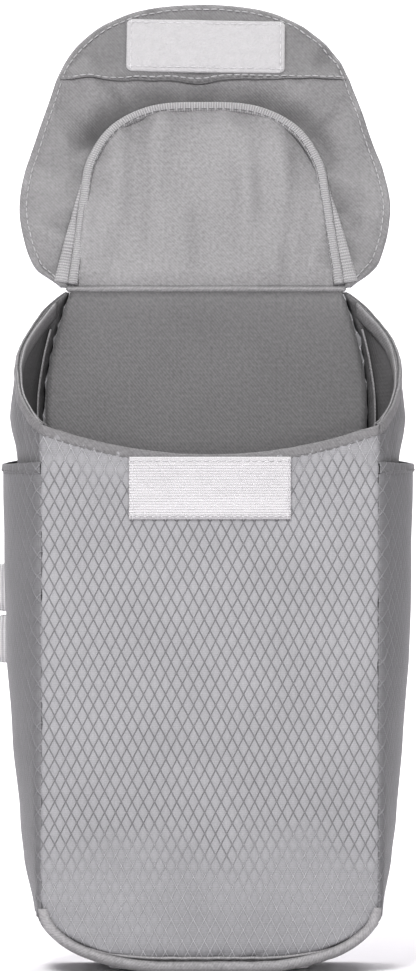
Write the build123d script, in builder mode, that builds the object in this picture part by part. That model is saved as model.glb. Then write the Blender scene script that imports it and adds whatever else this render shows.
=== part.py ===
"""Soft nappy pouch with a hinged flap lid, drawn with the lid open.

Millimetres, +Z up, the front panel faces -Y. The origin is the middle of the flat base. Cloth pieces are
thin closed solids in their sewn places: flat front and rear panels, a bulging boxing strip (two gussets
and the base) between them, patch pockets over the gussets, and a lid of three layers that turns about
the rolled seam on the rear rim.
"""

import os
from math import asin, cos, degrees, radians, sin, sqrt

from build123d import *

# ---- Driving dimensions -----------------------------------------------------------------------------
panel_width = 136.0  # front and rear panels, seam to seam
depth = 70.0  # front panel face to rear panel face
gusset_bulge = 9.0  # how far each gusset swells beyond the panels' seams at mid depth
pocket_bulge = 15.0  # how far each filled side pocket swells beyond them
front_corner_height = 220.0  # where the front panel meets the gusset rims
rear_height = 272.0  # rear rim, which the lid is sewn to
scoop_depth = 14.0  # dip of the front panel's top edge
bottom_lift = 5.6  # lower edge of the front and rear panels above the ground
bottom_radius = 30.0  # lower corners of the front and rear panels
belly_drop = 12.0  # how far the base would sag below the ground if nothing flattened it
shoulder_lean = 10.0  # how far each side of the rear panel leans in at the rear rim
shoulder_drop = 38.0  # height of the rear panel's rounded shoulders
pocket_height = 205.0  # top of the side pockets
base_seam_height = 24.0  # where the gussets meet the base panel

shell_cloth = 0.9  # ripstop outer cloth
lining_cloth = 0.7
foam = 1.8  # foam between the cloth layers of the panels
foam_drop = 5.0  # rear rim to the top of the rear panel's foam and lining
board = 1.5  # stiffener in the base
tape = 1.0  # binding tape and facings
facing_width = 8.0
hem_width = 5.0
hem_fold = 0.6  # extra thickness of the pocket hems
fastener = 1.6  # hook tape and loop tape
tape_length = 65.0
tape_width = 25.0
hook_centre_height = 194.5
nip = 0.15  # stand-off between curved cloth layers that lie on each other
swing_gap = 0.5  # least space between pieces that move past each other
fold_gap = 0.5  # from the fold line to the cloth on each side of it

lid_lean = 32.0  # open lid, back from upright
roll_radius = 1.2  # rolled seam on the rear rim
roll_inset = 1.0  # from each end of the rear rim to the end of the roll
fold_distance = 90.0  # hinge line to the fold line between lid and flap
flap_length = 47.0  # fold line to the tip of the flap
lid_base_spread = 1.0  # how far the lid reaches past the rear rim on each side, at the hinge
lid_spread = 7.5  # how far it reaches past the panels' seams where it is widest
lid_widest_at = 36.0
taper_past_fold = 10.0  # fold line to where the straight sides run into the rounded tip
taper_inset = 8.0  # how far the sides have come in from the panels' seams there
tip_width = 44.0
tip_crown = 2.4  # rise of the tip's edge between its two rounded corners
arch_base_inset = 2.0  # from each end of the rear rim to the foot of the arch
arch_side_inset = 7.0  # how far each side of the arch leans in from its foot
arch_crown_rise = 30.0  # height of its crown above its sides
arch_to_fold = 2.0  # crown of the arch to the fold line
lid_padding = 1.4
lid_padding_start = 10.0  # hinge line to the lid's padding
lining_reach = 1.0  # how much nearer to the hinge the lid's lining starts
binding_reach = 4.0  # how much nearer the binding and hinge tapes start
binding_width = 4.2
hinge_tape_width = 5.0
hinge_tape_length = 46.0
tip_facing_depth = 35.0
facing_cloth = 0.5
loop_past_fold = 27.0  # fold line to the middle of the loop tape
loop_corner = 2.5
hook_backing = 0.4  # how much the hook tape is thicker than the loop tape

webbing_width = 19.6
webbing = 1.2
tab_length = 16.5
tab_eye = 6.0  # inside width of the webbing loop's eye
tab_heights = (131.0, 152.0)
tab_heading = 146.0  # resting direction of the webbing loops, degrees from +X towards +Y
seam_clearance = 1.2  # webbing hinge line beyond the corner seam

# ---- Values that follow from them -------------------------------------------------------------------
front_face = -depth / 2
rear_face = depth / 2
wall = shell_cloth + foam + lining_cloth
rim_slope = (rear_height - front_corner_height) / depth
half_panel = panel_width / 2
hinge_y = rear_face - shell_cloth / 2
hinge_z = rear_height + roll_radius
roll_gap = roll_radius + swing_gap
rim_width = panel_width - 2 * shoulder_lean
lid_length = fold_distance + flap_length
taper_end = fold_distance + taper_past_fold
arch_crown = fold_distance - arch_to_fold
arch_side = arch_crown - arch_crown_rise


def export(piece, label):
    """Label a finished piece and write it as one STEP file."""
    piece.part.label = label
    export_step(piece.part, f"parts/{label}.step")


# ---- Pouch body: outlines and shells ----------------------------------------------------------------
def outline(half_width, bulge, floor, corner_run, shoulder, inset=0.0):
    """Right half of the pouch's outline seen from the front, shrunk by inset, as one face.

    corner_run is the width that the rounded lower corner takes up, and shoulder is how far the side
    leans in at the height of the rear rim.
    """
    side = [
        (half_width + 0.05 * bulge, base_seam_height),
        (half_width + 0.50 * bulge, 0.25 * rear_height),
        (half_width + 0.80 * bulge, 0.42 * rear_height),
        (half_width + bulge, 0.70 * rear_height),
        (half_width + 0.95 * bulge, rear_height - shoulder_drop),
        (half_width + 0.75 * bulge - shoulder, rear_height),
        (half_width + 0.60 * bulge - 2.4 * shoulder, rear_height + 12.0),
    ]
    points = [(x - inset, z) for x, z in side]
    corner = half_width - inset - corner_run
    low = floor + inset
    with BuildSketch(Plane.XZ, mode=Mode.PRIVATE) as drawn:
        with BuildLine():
            Line((0, low), (corner, low))
            Spline((corner, low), points[0], tangents=((1, 0), (0.1, 1)))
            Spline(*points, tangents=((0.1, 1), (-0.5, 1)))
            Line(points[-1], (0, points[-1][1]))
            Line((0, points[-1][1]), (0, low))
        make_face()
    return drawn.sketch


def seam_outline(is_rear, inset=0.0, grow=0.0):
    """Right half of the outline along the front or the rear seam."""
    shoulder = shoulder_lean if is_rear else 0.0
    return outline(half_panel + grow, 0.0, bottom_lift, bottom_radius, shoulder, inset)


def body_solid(bulge, inset, grow=0.0):
    """Right half of the filled pouch shape; bulge sets how far it swells between its two seams."""
    middle = half_panel + grow
    with BuildPart(mode=Mode.PRIVATE) as filled:
        with BuildSketch(Plane.XZ.offset(-rear_face)):
            add(seam_outline(True, inset, grow))
        with BuildSketch(Plane.XZ):
            add(outline(middle, bulge, -belly_drop, 2 * bottom_radius, 2.0, inset))
        with BuildSketch(Plane.XZ.offset(-front_face)):
            add(seam_outline(False, inset, grow))
        loft()
    return filled.part


def slab(low, high, span=400.0):
    """Wide flat block between two heights."""
    standing = (Align.CENTER, Align.CENTER, Align.MIN)
    block = Box(span, span, high - low, align=standing, mode=Mode.PRIVATE)
    return Pos(0, 0, low) * block


def side_block(profile, span=400.0):
    """Block whose outline in the YZ plane is profile, as wide as span."""
    with BuildPart(mode=Mode.PRIVATE) as block:
        with BuildSketch(Plane.YZ):
            with BuildLine():
                Polyline(*profile, close=True)
            make_face()
        extrude(amount=span / 2, both=True)
    return block.part


def rim_band(below, above, front, rear):
    """Block between two lines parallel to the sloping rim, from y = front to y = rear."""

    def rim(y, lift):
        return (y, front_corner_height + rim_slope * (y - front_face) + lift)

    return side_block(
        [rim(front, below), rim(rear, below), rim(rear, above), rim(front, above)]
    )


def strip_shell(bulge, outer_inset, inner_inset, gap, grow=0.0):
    """Right half of one layer of the strip between the panels, flat at the ground.

    The layer lies between two insets and stops gap millimetres in from the panels' outside faces.
    """
    ground = slab(outer_inset, 400.0) & between_panels(gap)
    outer = body_solid(bulge, outer_inset, grow) & ground
    inner = body_solid(bulge, inner_inset, grow) & slab(inner_inset, 500.0)
    return outer - inner


def export_pair(right_shape, label):
    """Write a right-hand shape and its mirror image as the right_ and left_ pieces."""
    for side in ("right", "left"):
        with BuildPart() as piece:
            add(right_shape if side == "right" else mirror(right_shape, Plane.YZ, mode=Mode.PRIVATE))
        export(piece, f"{side}_{label}")


def export_whole(right_shape, label):
    """Write a right-hand shape joined with its mirror image as one piece."""
    with BuildPart() as piece:
        add(right_shape)
        mirror(about=Plane.YZ)
    export(piece, label)


def between_panels(gap):
    """Block that keeps what lies between the front and rear faces, gap millimetres in from each."""
    return Pos(0, 0, 200) * Box(400, depth - 2 * gap, 600, mode=Mode.PRIVATE)


layer_1 = shell_cloth
layer_2 = shell_cloth + lining_cloth
layer_3 = layer_2 + tape


# ---- Front and rear panels --------------------------------------------------------------------------
def panel_outline(inset, is_rear, drop=0.0):
    """Front or rear panel seen from the front; the front one's top edge is scooped."""
    top = rear_height - drop if is_rear else front_corner_height
    wide = panel_width
    with BuildSketch(Plane.XZ, mode=Mode.PRIVATE) as drawn:
        add(seam_outline(is_rear, inset))
        mirror(about=Plane.YZ)
        with BuildLine():
            if is_rear:
                Line((-wide, top), (wide, top))
            else:
                Line((-wide, top), (-half_panel, top))
                ThreePointArc((-half_panel, top), (0, top - scoop_depth), (half_panel, top))
                Line((half_panel, top), (wide, top))
            Polyline((wide, top), (wide, top + 200), (-wide, top + 200), (-wide, top))
        make_face(mode=Mode.SUBTRACT)
    return drawn.sketch


def panel_layer(label, is_rear, near, thickness, inset, drop=0.0):
    """One cloth or foam layer of a panel, near millimetres in from the panel's outside face."""
    with BuildPart() as layer:
        with BuildSketch(Plane.XZ):
            add(panel_outline(inset, is_rear, drop))
        extrude(amount=-thickness)
    start = rear_face - near - thickness if is_rear else front_face + near
    layer.part = Pos(0, start, 0) * layer.part
    export(layer, label)


def front_and_rear_panels():
    """Outer cloth, foam and lining of both panels; the rear foam stops below the rolled seam."""
    for is_rear, name in ((False, "front"), (True, "rear")):
        drop = foam_drop if is_rear else 0.0
        panel_layer(f"{name}_panel", is_rear, 0.0, shell_cloth, 0.0)
        panel_layer(f"{name}_foam", is_rear, shell_cloth, foam, layer_3 + 3 * nip, drop)
        panel_layer(
            f"{name}_lining",
            is_rear,
            shell_cloth + foam,
            lining_cloth,
            layer_3 + 3 * nip,
            drop,
        )


# ---- Gussets, base and their linings ----------------------------------------------------------------
def strip_pieces():
    """Gussets and base panel, their linings, the rim facings and the inside seam bindings."""
    strip = strip_shell(gusset_bulge, 0.0, layer_1, shell_cloth)
    lining = strip_shell(gusset_bulge, layer_1 + nip, layer_2, shell_cloth)
    under_rim = rim_band(-400, 0, front_face, rear_face)
    above_base = slab(base_seam_height, 400)
    export_pair(strip & under_rim & above_base, "gusset")
    export_pair(lining & under_rim & above_base, "gusset_lining")
    export_whole(strip & slab(-1, base_seam_height), "base_panel")
    inner = strip_shell(gusset_bulge, layer_2 + nip, layer_3, wall)
    reach = depth / 2 - wall
    export_pair(inner & rim_band(-facing_width, 0, -reach, reach), "rim_facing")
    for y, name in ((-reach, "front"), (reach - hem_width, "rear")):
        below_facing = rim_band(-400, -facing_width - 1, y, y + hem_width)
        band = inner & below_facing & slab(base_seam_height + 2, 400)
        export_whole(band, f"{name}_seam_binding")


def base_inserts():
    """Stiffener board on the base cloth and the lining over it."""
    length = panel_width - 2 * bottom_radius + 4
    width = depth - 2 * bottom_lift - 8
    with BuildPart() as stiffener:
        with BuildSketch(Plane.XY.offset(layer_1 + nip)):
            RectangleRounded(length, width, 10)
        extrude(amount=board)
    export(stiffener, "base_stiffener")
    with BuildPart() as lining:
        with BuildSketch(Plane.XY.offset(layer_1 + 2 * nip + board)):
            RectangleRounded(length + 6, width, 11)
        extrude(amount=lining_cloth)
    export(lining, "base_lining")


def front_rim_facing():
    """Strip of cloth inside the front panel that follows its scooped top edge."""
    start = front_face + wall + nip
    seam = half_panel - layer_3 - nip
    with BuildPart() as facing:
        with BuildSketch(Plane.XZ):
            add(panel_outline(layer_3 + nip + tape, False))
        extrude(amount=-tape)
        with BuildSketch(Plane.XZ):
            with BuildLine():
                top = front_corner_height - facing_width
                ThreePointArc((seam, top), (0, top - scoop_depth), (-seam, top))
                Polyline((-seam, top), (-seam, -5), (seam, -5), (seam, top))
            make_face()
        extrude(amount=-tape, mode=Mode.SUBTRACT)
    facing.part = Pos(0, start, 0) * facing.part
    export(facing, "front_rim_facing")


# ---- Side pockets -----------------------------------------------------------------------------------
def side_pockets():
    """Patch pockets over the gussets, swollen clear of them, with a folded hem along the top."""
    seam_growth = shell_cloth + 3 * nip
    swell = pocket_bulge - seam_growth
    skin = strip_shell(swell, 0.0, shell_cloth, nip, seam_growth)
    hem_skin = strip_shell(swell, -hem_fold, -nip, nip, seam_growth)
    export_pair(skin & slab(base_seam_height, pocket_height), "side_pocket")
    export_pair(hem_skin & slab(pocket_height - hem_width, pocket_height), "pocket_hem")


# ---- Fastening and hinge seam -----------------------------------------------------------------------
def hook_strip():
    """Hook tape sewn to the front panel just below the scoop."""
    with BuildPart() as hooks:
        with Locations((0, front_face - fastener / 2, hook_centre_height)):
            Box(tape_length, fastener, tape_width)
    export(hooks, "hook_strip")


def rolled_seam():
    """Rolled seam allowance along the rear rim, on the lid's hinge line."""
    with BuildPart() as roll:
        with Locations(Plane(origin=(0, hinge_y, hinge_z), z_dir=(1, 0, 0))):
            Cylinder(roll_radius, rim_width - 2 * roll_inset)
    export(roll, "hinge_seam_roll")


# ---- Lid and flap -----------------------------------------------------------------------------------
lean = radians(lid_lean)
lid_plane = Plane(
    origin=(0, hinge_y, hinge_z), x_dir=(1, 0, 0), z_dir=(0, -cos(lean), sin(lean))
)


def lid_outline():
    """Whole lid with its flap and skirt, laid flat: sides that flare from the hinge, a rounded tip."""
    half_base = rim_width / 2 + lid_base_spread
    half_wide = half_panel + lid_spread
    half_taper = half_panel - taper_inset
    tip = (tip_width / 2, lid_length - tip_crown)
    with BuildSketch(mode=Mode.PRIVATE) as drawn:
        with BuildLine():
            side = Spline(
                (half_base, roll_gap),
                (half_base + 0.7 * (half_wide - half_base), 0.4 * lid_widest_at),
                (half_wide, lid_widest_at),
                (half_taper + 0.5 * (half_wide - half_taper), 0.74 * taper_end),
                (half_taper, taper_end),
            )
            corner = ThreePointArc(
                (half_taper, taper_end),
                (0.81 * half_taper, lid_length - 0.45 * (lid_length - taper_end)),
                tip,
            )
            mirror(side, about=Plane.YZ)
            mirror(corner, about=Plane.YZ)
            ThreePointArc((-tip[0], tip[1]), (0, lid_length), tip)
            Line((half_base, roll_gap), (-half_base, roll_gap))
        make_face()
    return drawn.sketch


def arch_outline(inset):
    """Top panel of the lid, an arch on straight sides, shrunk by inset on its sides and crown."""
    half_base = rim_width / 2 - arch_base_inset - inset
    half_arch = half_base - arch_side_inset
    crown = arch_crown - inset
    with BuildSketch(mode=Mode.PRIVATE) as drawn:
        with BuildLine():
            right = Spline(
                (half_base, roll_gap),
                (half_arch, arch_side),
                (0.78 * half_arch, arch_side + 0.62 * (crown - arch_side)),
                (0, crown),
                tangents=((-0.1, 1), (-1, 0)),
            )
            mirror(right, about=Plane.YZ)
            Line((half_base, roll_gap), (-half_base, roll_gap))
        make_face()
    return drawn.sketch


def lid_layer(label, near, thickness, keep, cut=(), low=-10.0, high=400.0):
    """One layer of the lid, near millimetres inward from the hinge plane.

    keep is its outline, cut are outlines taken out of it, and low and high trim it along the lid.
    """
    with BuildPart() as layer:
        with BuildSketch(lid_plane.offset(near)):
            add(keep)
            for hole in cut:
                add(hole, mode=Mode.SUBTRACT)
            with Locations((0, (low + high) / 2)):
                Rectangle(400, high - low, mode=Mode.INTERSECT)
        extrude(amount=thickness)
    export(layer, label)


def lid_pieces():
    """Lid body: three layers of the arch, its binding, the hinge tapes and the skirt round it."""
    start = lid_padding_start
    end = fold_distance - fold_gap
    lid_layer("lid_panel", -shell_cloth, shell_cloth, arch_outline(0))
    lid_layer("lid_foam", 0, lid_padding, arch_outline(binding_width + nip), low=start)
    lid_layer(
        "lid_lining",
        lid_padding,
        lining_cloth,
        arch_outline(binding_width + nip),
        low=start - lining_reach,
    )
    lid_layer(
        "arch_binding",
        nip,
        lid_padding + lining_cloth,
        arch_outline(0),
        [arch_outline(binding_width)],
        low=start - binding_reach,
    )
    lid_layer(
        "skirt_cloth",
        -shell_cloth,
        shell_cloth,
        lid_outline(),
        [arch_outline(-nip)],
        high=end,
    )
    lid_layer(
        "skirt_lining", 0, lining_cloth, lid_outline(), [arch_outline(-nip)], high=end
    )
    for side, name in ((-1, "left"), (1, "right")):
        with BuildPart() as hinge_tape:
            with BuildSketch(lid_plane.offset(lining_cloth + nip)):
                add(arch_outline(-hinge_tape_width))
                add(arch_outline(-2 * nip), mode=Mode.SUBTRACT)
                with Locations((side * 100, start - binding_reach + hinge_tape_length / 2)):
                    Rectangle(200, hinge_tape_length, mode=Mode.INTERSECT)
            extrude(amount=tape)
        export(hinge_tape, f"{name}_hinge_tape")


def flap_pieces():
    """Flap body: the front end of the skirt beyond the fold line, its facing and the loop tape."""
    start = fold_distance + fold_gap
    lid_layer("flap_cloth", -shell_cloth, shell_cloth, lid_outline(), low=start)
    lid_layer("flap_lining", 0, lining_cloth, lid_outline(), low=start)
    facing_start = lid_length - tip_facing_depth
    lid_layer("tip_facing", lining_cloth, facing_cloth, lid_outline(), low=facing_start)
    with BuildPart() as loops:
        with BuildSketch(lid_plane.offset(lining_cloth + facing_cloth)):
            with Locations((0, fold_distance + loop_past_fold)):
                RectangleRounded(tape_length, tape_width, loop_corner)
        extrude(amount=fastener - hook_backing)
    export(loops, "loop_strip")


# ---- Webbing loops ----------------------------------------------------------------------------------
tab_x = -half_panel - shell_cloth - seam_clearance
tab_y = rear_face + seam_clearance


def webbing_loops():
    """Two folded webbing loops, one above the other, that turn about the left rear seam."""
    eye = tab_eye / 2
    outer = eye + webbing
    centre = tab_length - outer
    neck = webbing + 0.1
    taper = degrees(asin(min(0.9, (outer - neck) / sqrt(centre**2 + outer**2))))
    for height, name in zip(tab_heights, ("lower", "upper")):
        plane = Plane(
            origin=(tab_x, tab_y, height - webbing_width / 2),
            x_dir=(cos(radians(tab_heading)), sin(radians(tab_heading)), 0),
            z_dir=(0, 0, 1),
        )
        with BuildPart() as loop:
            with BuildSketch(plane):
                with Locations((centre, 0)):
                    Circle(outer)
                with BuildLine():
                    lean_out = radians(90 + taper / 2)
                    touch = (
                        centre + outer * cos(lean_out),
                        outer * sin(lean_out),
                    )
                    Polyline(
                        (0.3, -neck),
                        (touch[0], -touch[1]),
                        touch,
                        (0.3, neck),
                        close=True,
                    )
                make_face()
                with Locations((centre, 0)):
                    Circle(eye, mode=Mode.SUBTRACT)
            extrude(amount=webbing_width)
        export(loop, f"{name}_webbing_loop")


os.makedirs("parts", exist_ok=True)
front_and_rear_panels()
strip_pieces()
base_inserts()
front_rim_facing()
side_pockets()
hook_strip()
rolled_seam()
lid_pieces()
flap_pieces()
webbing_loops()
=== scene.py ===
"""Looks of a soft nappy pouch of ripstop cloth, standing with its flap lid open.

Every cloth piece is a thin closed shell built from a surface rule in metres, in the same frame as the
CAD model: +Z up, the front panel towards -Y, the origin in the middle of the base.
"""

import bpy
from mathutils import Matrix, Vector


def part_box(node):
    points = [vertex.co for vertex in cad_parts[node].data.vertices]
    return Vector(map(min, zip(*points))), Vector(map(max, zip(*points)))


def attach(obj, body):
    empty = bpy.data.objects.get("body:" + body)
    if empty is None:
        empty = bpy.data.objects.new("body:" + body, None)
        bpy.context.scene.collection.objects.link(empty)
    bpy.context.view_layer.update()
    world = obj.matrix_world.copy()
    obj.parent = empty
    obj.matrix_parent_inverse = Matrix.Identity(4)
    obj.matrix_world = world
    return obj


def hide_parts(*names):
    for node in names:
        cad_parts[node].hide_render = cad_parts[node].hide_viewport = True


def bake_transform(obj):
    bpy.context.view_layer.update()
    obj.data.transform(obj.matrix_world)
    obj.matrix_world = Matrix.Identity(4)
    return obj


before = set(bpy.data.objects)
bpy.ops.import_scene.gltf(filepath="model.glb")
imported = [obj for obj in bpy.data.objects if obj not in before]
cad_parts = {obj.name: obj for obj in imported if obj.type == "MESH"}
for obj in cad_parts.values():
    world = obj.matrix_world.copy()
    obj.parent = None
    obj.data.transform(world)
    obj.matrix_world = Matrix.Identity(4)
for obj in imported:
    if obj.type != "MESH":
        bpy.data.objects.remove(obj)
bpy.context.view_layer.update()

import logging
import math
from collections.abc import Callable
from dataclasses import dataclass, field
from enum import Enum

import bmesh
import bpy
import numpy as np
from mathutils import Vector, noise

log = logging.getLogger("pouch")
MM = 0.001

Piece = bpy.types.Object
Material = bpy.types.Material
Socket = bpy.types.NodeSocket
Point = tuple[float, float, float]
Flat = tuple[float, float]
Surface = Callable[[float, float], Point]


class Side(Enum):
    """Left and right of the pouch, as seen from the front."""

    LEFT = -1
    RIGHT = 1

    @property
    def word(self) -> str:
        """The side's name as the CAD nodes spell it."""
        return self.name.lower()


# ---- Small shape tools -------------------------------------------------------------------------------
def ease(t: float) -> float:
    """Smooth step from 0 to 1, flat at both ends."""
    t = min(max(t, 0.0), 1.0)
    return t * t * (3 - 2 * t)


def curve_through(knots: list[Flat], x: float) -> float:
    """Value at x of the eased line through the knots, held at both ends."""
    if x <= knots[0][0]:
        return knots[0][1]
    for (x0, y0), (x1, y1) in zip(knots, knots[1:]):
        if x <= x1:
            t = (x - x0) / (x1 - x0)
            return y0 + (y1 - y0) * (0.55 * t + 0.45 * ease(t))
    return knots[-1][1]


class Seed:
    """Noise seeds, one for each surface, so that no two of them show the same folds."""

    HINGE_ROLL = 3.0
    FRONT = 4.0
    BASE_LINING = 5.0
    HOOK_TAPE = 9.0
    REAR = 21.0
    BASE_ROLL = 31.0
    GUSSET = 40.0
    POCKET = 60.0
    MOUTH_HEM = 61.0
    BASE = 71.0
    SKIRT = 81.0
    ARCH = 91.0
    FACING_EDGE = 97.0
    LOOP_TAPE = 99.0


def ripple(x: float, y: float, scale: float, seed: float) -> float:
    """Smooth noise from -1 to 1 with features about scale metres across."""
    return noise.noise(Vector((x / scale, y / scale, seed)))


def front_map(u: float, v: float, p: Point) -> Flat:
    """Map of a cloth that faces the front or the back: across and up."""
    return (p[0], p[2])


def side_map(u: float, v: float, p: Point) -> Flat:
    """Map of a cloth that faces a side: along the depth and up."""
    return (p[1], p[2])


def box_sides(x0: float, y0: float, x1: float, y1: float, steps: int = 30) -> list[list[Flat]]:
    """The four sides of a rectangle, each as evenly spaced points."""
    corners = [(x0, y0), (x1, y0), (x1, y1), (x0, y1)]
    return [[(ax + (bx - ax) * k / steps, ay + (by - ay) * k / steps) for k in range(steps + 1)]
            for (ax, ay), (bx, by) in zip(corners, corners[1:] + corners[:1])]


def pucker(distance: float, along: float, reach: float, pitch: float, seed: float) -> float:
    """Gathers that a seam pulls into cloth, fading with the distance from the seam.

    Args:
        distance: how far the point is from the seam, in metres.
        along: place along the seam, in metres.
        reach: distance over which the gathers fade.
        pitch: rough spacing of the gathers along the seam.
        seed: picks the pattern.

    Returns:
        Height from -1 to 1.
    """
    fade = math.exp(-max(distance, 0.0) / reach) * ease(distance / (1.6 * MM))
    wave = math.sin(2 * math.pi * (along / pitch + 0.9 * ripple(along, seed, 3.1 * pitch, seed)))
    return fade * (0.6 * wave + 0.7 * ripple(along, distance * 0.35, 1.3 * pitch, seed + 7))


# ---- Node trees for materials ------------------------------------------------------------------------
class Shader:
    """A material under construction, with short calls for the nodes that the finishes use."""

    def __init__(self, name: str) -> None:
        """Start an empty material with a Principled surface."""
        self.material = bpy.data.materials.new(name)
        self.material.use_nodes = True
        self.tree = self.material.node_tree
        self.tree.nodes.clear()
        self.output = self.tree.nodes.new("ShaderNodeOutputMaterial")
        self.surface = self.tree.nodes.new("ShaderNodeBsdfPrincipled")
        self.tree.links.new(self.surface.outputs[0], self.output.inputs[0])

    def wire(self, value: object, socket: Socket) -> None:
        """Link a socket to another, or set it to a plain value."""
        if isinstance(value, Socket):
            self.tree.links.new(value, socket)
        else:
            socket.default_value = value

    def math(self, operation: str, a: object, b: object = 0.0, c: object = 0.0) -> Socket:
        """One Math node; returns its output."""
        node = self.tree.nodes.new("ShaderNodeMath")
        node.operation = operation
        for value, socket in zip((a, b, c), node.inputs):
            self.wire(value, socket)
        return node.outputs[0]

    def add(self, a: object, b: object) -> Socket:
        """The sum."""
        return self.math("ADD", a, b)

    def sub(self, a: object, b: object) -> Socket:
        """The difference."""
        return self.math("SUBTRACT", a, b)

    def mul(self, a: object, b: object) -> Socket:
        """The product."""
        return self.math("MULTIPLY", a, b)

    def mul_add(self, a: object, b: object, c: object) -> Socket:
        """The product of the first two, plus the third."""
        return self.math("MULTIPLY_ADD", a, b, c)

    def place(self, from_uv: bool) -> tuple[Socket, ...]:
        """The vector socket and its x, y and z, from the piece's own map or its object coordinates."""
        node = self.tree.nodes.new("ShaderNodeTexCoord")
        vector = node.outputs["UV" if from_uv else "Object"]
        split = self.tree.nodes.new("ShaderNodeSeparateXYZ")
        self.tree.links.new(vector, split.inputs[0])
        return vector, split.outputs[0], split.outputs[1], split.outputs[2]

    def mottle(self, vector: object, scale: float, detail: float = 3.0) -> Socket:
        """Noise from 0 to 1 at a scale in features per metre."""
        node = self.tree.nodes.new("ShaderNodeTexNoise")
        self.wire(vector, node.inputs["Vector"])
        node.inputs["Scale"].default_value = scale
        node.inputs["Detail"].default_value = detail
        return node.outputs[0]

    def wave(self, coordinate: object, pitch: float) -> Socket:
        """A wave from 0 to 1 with that pitch in metres along a coordinate."""
        turned = self.math("MULTIPLY", coordinate, 2 * math.pi / pitch)
        return self.math("MULTIPLY_ADD", self.math("SINE", turned), 0.5, 0.5)

    def line(self, coordinate: object, width: float) -> Socket:
        """1 in a band of that width round each whole number of the coordinate, 0 elsewhere."""
        away = self.math("PINGPONG", coordinate, 0.5)
        return self.math("SMOOTH_MIN", self.math("MULTIPLY", self.math(
            "SUBTRACT", width, away), 1.6 / width), 1.0, 0.3)

    def tone(self, factor: object, dark: tuple, light: tuple) -> Socket:
        """A colour between dark and light."""
        node = self.tree.nodes.new("ShaderNodeMix")
        node.data_type = "RGBA"
        self.wire(factor, node.inputs[0])
        node.inputs[6].default_value = (*dark, 1)
        node.inputs[7].default_value = (*light, 1)
        return node.outputs[2]

    def paint(self, factor: object, value: float, dark: float, light: float, warm: float = 0.0) -> None:
        """Colour the surface between two shares of one grey."""
        colour = self.tone(factor, grey(value * dark, warm), grey(value * light, warm))
        self.wire(colour, self.surface.inputs["Base Color"])

    def bump(self, height: object, distance: float, strength: float = 1.0) -> None:
        """Feed a height field to the surface's normal."""
        node = self.tree.nodes.new("ShaderNodeBump")
        node.inputs["Strength"].default_value = strength
        node.inputs["Distance"].default_value = distance
        self.wire(height, node.inputs["Height"])
        self.tree.links.new(node.outputs[0], self.surface.inputs["Normal"])

    def painted_crease_shade(self, distance: float) -> Socket:
        """Painted shade: 0 on open cloth, down to -1 in the depth of a fold no wider than that distance."""
        node = self.tree.nodes.new("ShaderNodeAmbientOcclusion")
        node.samples = 3
        node.inputs["Distance"].default_value = distance
        return self.math("SUBTRACT", node.outputs["AO"], 1.0)

    def settle(self, roughness: object, sheen: float = 0.0, specular: float = 0.3) -> None:
        """Set the plain surface values."""
        self.wire(roughness, self.surface.inputs["Roughness"])
        self.surface.inputs["Sheen Weight"].default_value = sheen
        self.surface.inputs["Sheen Roughness"].default_value = 0.5
        self.surface.inputs["Specular IOR Level"].default_value = specular


def grey(value: float, warm: float = 0.0) -> tuple[float, float, float]:
    """A linear grey, pushed a little to the warm or the cold side."""
    return (value * (1 + warm), value * (0.98 - 0.3 * abs(warm)), value * (1.01 - warm))


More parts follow.
